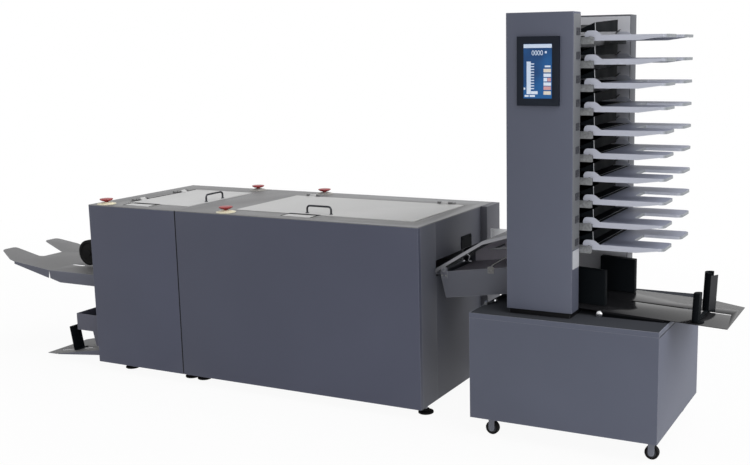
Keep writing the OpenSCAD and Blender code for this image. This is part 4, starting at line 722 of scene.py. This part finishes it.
def lit(name, colour, other, glow=0.08, pixel=0.0006):
    """A lit screen face: soft patches mix two colours, a fine square grid dims the joints between its
    pixels, and the same colour is given off as light."""
    finish, tree, shader = new_finish(name, 0.3)
    centre = put(tree, "TexCoord").outputs["Object"]
    patches = put(tree, "TexNoise", {"Vector": centre, "Scale": 11.0, "Detail": 1.0})
    soft = put(tree, "MapRange", {"Value": patches.outputs["Fac"], "From Min": 0.35, "From Max": 0.65})
    turned_up = put(tree, "Mapping", {"Vector": centre, "Rotation": (math.pi / 2, 0, 0)})
    pixels = put(tree, "TexBrick", {"Vector": turned_up.outputs[0], "Scale": 1 / pixel, "Mortar Size": 0.02,
                                    "Brick Width": 1.0, "Row Height": 1.0, "Color1": (1, 1, 1, 1),
                                    "Color2": (1, 1, 1, 1), "Mortar": (0.8, 0.8, 0.8, 1)}, offset=0.0)
    mixed = put(tree, "Mix", {"Factor": soft.outputs[0], "A": colour, "B": other}, data_type="RGBA")
    shown = put(tree, "Mix", {"Factor": 1.0, "A": mixed.outputs["Result"], "B": pixels.outputs["Color"]},
                data_type="RGBA", blend_type="MULTIPLY")
    tree.links.new(shown.outputs["Result"], shader.inputs["Base Color"])
    tree.links.new(shown.outputs["Result"], shader.inputs["Emission Color"])
    shader.inputs["Emission Strength"].default_value = glow
    shader.inputs["Roughness"].default_value = 0.22
    return finish


eased("tower_front_column", 1.6, collator_coat)
eased("tower_rear_column", 1.2, coat("rear_column_powder_coat", linear(84, 86, 92)))
eased("tower_frame", 0.6, coat("spine_powder_coat", linear(14, 14, 17), shine=0.12, rub=0.1))
eased("touch_screen", 2.0, moulded("bezel_moulding", linear(17, 23, 34), roughness=0.45, shine=0.15))
glass_low, glass_size, glass_seat = np.array([2025, 1215]), np.array([102, 182]), -26
glass_back, glass_face, cell_back, glass_edge = glass_seat + 0.3, glass_seat - 0.35, glass_seat - 0.3, 0.4


def on_glass(u0, v0, u1, v1, round_by=0.6, rise=0.3):
    """A cell on the glass, from its low to its high corner as shares of the glass."""
    return slab(oblong(glass_low + glass_size * (u0, v0), glass_low + glass_size * (u1, v1), round_by, 3),
                glass_face - rise, cell_back, 0.1, "xz")


def zero(u, v, wide, high):
    """A zero: an oval ring about a point of the glass."""
    steps, stroke, rise = 28, 2.1, 0.35
    oval = round_section(0.5, steps) * glass_size * (wide, high)
    ring = band(oval + glass_low + glass_size * (u, v), stroke, 0, rise)[0]
    return sleeve((ring[:, [0, 2, 1]] * [1, -1, 1] + [0, cell_back, 0]).reshape(-1, steps, 3), False)


glass = oblong(glass_low + glass_edge, glass_low + glass_size - glass_edge, 1.5)
fitted("screen_glass", [slab(glass, glass_face, glass_back, 0.2, "xz")],
       lit("screen_blue", linear(12, 58, 106), linear(18, 84, 142), 0.14), "line")
ticks = [on_glass(0.262, v - 0.01, 0.38, v + 0.01, 0.4) for v in 0.183 + 0.05 * np.arange(10)]
white_cells = [on_glass(0.01, 0.922, 0.99, 0.99), on_glass(0.115, 0.082, 0.262, 0.676),
               on_glass(0.268, 0.082, 0.504, 0.137), on_glass(0.044, 0.032, 0.186, 0.066),
               on_glass(0.22, 0.032, 0.407, 0.066), on_glass(0.012, 0.164, 0.065, 0.2),
               on_glass(0.75, 0.822, 0.823, 0.863, 1.8), on_glass(0.708, 0.397, 0.965, 0.457),
               on_glass(0.708, 0.237, 0.965, 0.297), on_glass(0.75, 0.571, 0.95, 0.603),
               on_glass(0.708, 0.315, 0.83, 0.379)]
zeros = [zero(u, 0.833, 0.095, 0.09) for u in (0.338, 0.438, 0.538, 0.638)]
fitted("screen_white_cells", white_cells + ticks + zeros,
       lit("screen_white", linear(196, 210, 230), linear(212, 222, 236)), "line")
fitted("screen_beige_cells", [on_glass(0.708, 0.479, 0.965, 0.543), on_glass(0.708, 0.073, 0.965, 0.137)],
       lit("screen_beige", linear(204, 196, 182), linear(216, 208, 194)), "line")
fitted("screen_red_cells", [on_glass(0.708, 0.16, 0.965, 0.224), on_glass(0.842, 0.315, 0.965, 0.379)],
       lit("screen_red", linear(186, 112, 116), linear(200, 150, 152)), "line")

# Bins
# Forked sheet bins hooked over bracket pins on the columns, below black feed housings with a bright guide
# wire at the front corner and a steel strip on the table. Small plates on the column stand beside the
# hooks.
bin_heights = 712 + 79 * np.arange(10)


def arc(x, y, radius, start, end, steps=7):
    """Points of a circle about a centre, from one angle to another in degrees."""
    angle = np.radians(np.linspace(start, end, steps))
    return np.column_stack([x + radius * np.cos(angle), y + radius * np.sin(angle)])


housing_ends = ((80, [(2005.2, 14), (2240, 14), (2240, 42), (2192, 22), (2005.2, 22)]),
                (340, [(2005.2, 14), (2240, 14), (2240, 56), (2192, 40), (2005.2, 40)]))
housing = np.array([[(x, y, z) for x, z in end] for y, end in housing_ends], float)
table, table_low, table_high = oblong((2005.2, 80), (2262, 440), 3), -6, -2
tables = [slab(table, z + table_low, z + table_high, 0.5) for z in bin_heights]
fitted("feed_units_formed", [sleeve(housing + [0, 0, z]) for z in bin_heights] + tables, black_moulding,
       "line", ["feed_units"])
bracket_zinc = moulded("bracket_zinc", linear(112, 114, 116), roughness=0.5, mottle=0.3, patch=120.0)
eased("bin_brackets", 0.8, bracket_zinc)
bin_back, bin_tip, bin_front, bin_rear, prong = 2267, 2490, 73, 447, 124.67
tip_round, slot_back, slot_round, bin_sheet, hem = 20, 2352, 10, 2, 10
near_prong = np.vstack([[(bin_back, bin_front)],
                        arc(bin_tip - tip_round, bin_front + tip_round, tip_round, -90, 0),
                        arc(bin_tip - tip_round, bin_front + prong - tip_round, tip_round, 0, 90),
                        arc(slot_back + slot_round, bin_front + prong + slot_round, slot_round, 270, 180)])
fork = np.vstack([near_prong, (near_prong * [1, -1] + [0, bin_front + bin_rear])[::-1]])
hook = np.vstack([[(2240, -19), (2394, -19), (2470, -9), (2470, 0), (2267, 0), (2252, 11), (2244, 15)],
                  arc(2221, 0, 15, 90, 180), [(2206, -8)], arc(2228, -8, 4.3, 180, 0, 9), [(2240, -8)]])
hem_section = np.array([(-1, -hem), (1, -hem), (1, hem), (-1, hem)]) * [0.4 * bin_sheet, 0.5]
hem_line = drawn_in(fork, 0.4 * bin_sheet)[1:-1]
# The bins' tops and right ends take darker tones than their front flanges: painted shade on one paint.
bin_coat = coat("bin_powder_coat", linear(180, 183, 195), roughness=0.5, upper=linear(128, 132, 149),
                end=linear(128, 132, 136))
for number, z in enumerate(bin_heights[::-1], 1):
    hem_path = np.column_stack([hem_line, np.full(len(hem_line), z - hem / 2)])
    fitted(f"bin_{number}_formed", [slab(drawn_in(fork, 0.8 * bin_sheet), z - bin_sheet, z - 0.1, 0.3),
                                    drawn(hem_path, hem_section, (0, 0, 1)),
                                    slab(hook + [0, z], bin_front, bin_front + bin_sheet, 0.4, "xz"),
                                    slab(hook + [0, z], bin_rear - bin_sheet, bin_rear, 0.4, "xz")],
           bin_coat, f"bin_{number}", [f"bin_{number}"])
column_face, plate_back, plate_face = 2197, 2198, 2199.6
fitted("column_foot_plate", [slab(oblong((-9, 634), (56, 698), 3), column_face, 2198.4, 0.4, "yz")],
       coat("foot_plate_coat", linear(176, 178, 184), mottle=0.15), "line")
# The plate a shade lighter than the column paint on the column's right face is painted light: it brightens
# the face that the light from the right falls on.
fitted("column_side_light_plate", [slab(oblong((-12, 702), (57, 1493), 3), column_face, plate_back, 0.3, "yz")],
       coat("side_plate_light_coat", linear(106, 108, 112), mottle=0.12), "line")
rear_lining = [(2007, 486), (2252, 486), (2252, 1494), (2007, 1494)]
lining_front, lining_back = 456.4, 456.95
fitted("rear_column_lining", [slab(rear_lining, lining_front, lining_back, 0.1, "xz")],
       coat("lining_powder_coat", linear(205, 206, 212), rub=0.05), "line")
pale_wire = brushed("pale_wire", linear(170, 172, 176), roughness=0.4)
wire_line = np.array([(2242.4, 78.6, 1), (2241.8, 78.2, 16), (2241, 78, 30), (2240.6, 78.2, 44)])
wire_section = round_section(1.1, 8)
fitted("feed_guide_wires", [drawn(wire_line + [0, 0, z], wire_section, (0, 1, 0)) for z in bin_heights],
       pale_wire, "line")
edge_strip, edge_low, edge_high = oblong((2249, 84), (2252, 436), 0.8, 3), -2.1, -1.1
fitted("feed_edge_strips", [slab(edge_strip, z + edge_low, z + edge_high, 0.2) for z in bin_heights],
       pale_wire, "line")
plates = [slab(oblong((12, z), (47, z + 25), 3), plate_back, plate_face, 0.5, "yz") for z in bin_heights]
plate_screws = [pan_head((plate_face, y, z + 12), "x", 3) for z in bin_heights for y in (18, 41)]
fitted("bin_plates", plates + plate_screws,
       moulded("plate_moulding", linear(58, 59, 64), roughness=0.5, mottle=0.3, patch=160.0, shine=0.25),
       "line")
coil_turns, coil_radius, coil_start, coil_length = 5, 2.4, (2200, 453.4, 10), (14, 11)
spring_turn = np.linspace(0, coil_turns * 2 * math.pi, 120)
spring_share = spring_turn / spring_turn[-1]
spring_coil = np.column_stack([coil_length[0] * spring_share, coil_radius * np.sin(spring_turn),
                               coil_length[1] * spring_share + coil_radius * np.cos(spring_turn)])
spring_eye = [(2196, 456.8, 9), (2197.5, 455.5, 10.5)]
spring_path = np.vstack([spring_eye, spring_coil + coil_start, [(2216, 455.5, 22), (2217.5, 456.8, 23)]])
spring_section, spring_square = round_section(0.9, 6), (0.6, 0.1, -0.8)
fitted("bin_springs", [drawn(spring_path + [0, 0, z], spring_section, spring_square) for z in bin_heights],
       brushed("spring_wire", linear(70, 70, 74), roughness=0.35), "line")

# Stacker
# Sloping glossy sheet tray on rests on the cabinet, with painted shade on the rests, a slot, a sliding stop
# with two posts, two black stack guides, and a knurled thumbscrew that clamps the tray.
tray_left, tray_level, tray_slope = 2197, 485, 0.047


def tray_gloss(name, colour, shade):
    """Gloss coat with painted shade on the rests: the height over the tray's own slope gives the colour on
    the sheet and the painted shade colour on the rests below it, and stretched noise gives fine rub marks in
    gloss and tone."""
    shine, rest_depth, mark_height = 0.075, 0.006, 0.0001
    mottle, roughness, gloss_swing, relief = 0.02, 0.16, 0.02, 0.04
    finish, tree, shader = new_finish(name, shine)
    centre = put(tree, "TexCoord").outputs["Object"]
    axes = put(tree, "SeparateXYZ", {"Vector": centre})
    over = put(tree, "Math", {0: axes.outputs["X"], 1: tray_slope, 2: axes.outputs["Z"]},
               operation="MULTIPLY_ADD")
    rest_top = (tray_level + tray_slope * tray_left) * MM + tray_slope * line_corner[0] - rest_depth
    rest_shade_share = put(tree, "MapRange", {"Value": over.outputs[0], "From Min": rest_top, "From Max": rest_top - MM})
    stretched = put(tree, "Mapping", {"Vector": centre, "Scale": (9.0, 160.0, 9.0)})
    marks = put(tree, "TexNoise", {"Vector": stretched.outputs[0], "Scale": 1.0, "Detail": 5.0})
    tone = swung(tree, marks.outputs["Fac"], 1 - mottle, 1 + mottle)
    toned = put(tree, "VectorMath", {0: colour[:3], "Scale": tone}, operation="SCALE")
    both = put(tree, "Mix", {"Factor": rest_shade_share.outputs[0], "A": toned.outputs[0], "B": shade}, data_type="RGBA")
    tree.links.new(both.outputs["Result"], shader.inputs["Base Color"])
    gloss = swung(tree, marks.outputs["Fac"], roughness - gloss_swing, roughness + gloss_swing)
    tree.links.new(gloss, shader.inputs["Roughness"])
    raised(tree, shader, marks.outputs["Fac"], relief, mark_height)
    return finish


# The rests under the tray take the painted shade colour, standing for the shadow in the gap under the tray.
eased("stacker_tray", 0.6, tray_gloss("stacker_gloss_coat", linear(30, 30, 32), linear(14, 15, 17)))
eased("stacker_stop", 0.6, black_moulding)
lean = math.atan(tray_slope)
post_axis = np.array([math.sin(lean), 0, math.cos(lean)])
post_x, slot_middle = 2605, 256
post_foot = np.array([post_x, slot_middle, tray_level - tray_slope * (post_x - tray_left)])
channel_outer, channel_inner, channel_lip = 25, 21.4, 2
channel = np.vstack([arc(0, 0, channel_outer, 90, 270, 13),
                     [(channel_lip, -channel_outer), (channel_lip, -channel_inner)],
                     arc(0, 0, channel_inner, 270, 90, 13),
                     [(channel_lip, channel_inner), (channel_lip, channel_outer)]])


def leaned(y, section, levels):
    """A section raised along the posts' axis by pairs of height and scale, y off the slot's middle."""
    rise, scale = np.hsplit(np.asarray(levels, float), 2)
    across = section @ [[math.cos(lean), 0, -math.sin(lean)], [0, 1, 0]]
    return sleeve(post_foot + [0, y, 0] + rise[:, None] * post_axis + scale[:, None] * across)


front_levels = [(3.6, 1), (95, 1), (99, 0.96), (101, 0.86), (102, 0.7)]
half_round = np.vstack([arc(0, 0, 21.6, 90, 270, 21), [(3.4, -21.6), (3.4, 21.6)]])
fitted("stop_post_sleeves", [leaned(-155, half_round, front_levels),
                             leaned(25, channel, [(3.6, 1), (136.5, 1)])], black_moulding, "stacker_stop")
strip_section = np.array([(1, -23.4), (2.3, -24), (19.3, 11.4), (18, 12)])
fitted("stop_post_strip", [leaned(25, strip_section, [(4, 1), (128, 1)])],
       moulded("strip_moulding", linear(40, 41, 44), roughness=0.4, shine=0.2), "stacker_stop")
eased("stack_guides", 1.5, black_moulding)
thumbscrew = [(0, 62), (6.4, 61.6), (8.4, 60), (8.4, 53.5), (7.4, 52), (4.2, 51.6), (3.6, 50), (0, 49.8)]
thumbscrew_profile = np.array(thumbscrew) * [1.4, -1] + [0, 115]
fitted("tray_thumbscrew", [turned(thumbscrew_profile, (2273, 0, 470), "y", 48, 24, 0.03)],
       brushed("thumbscrew_steel", linear(214, 214, 216), roughness=0.25), "line")
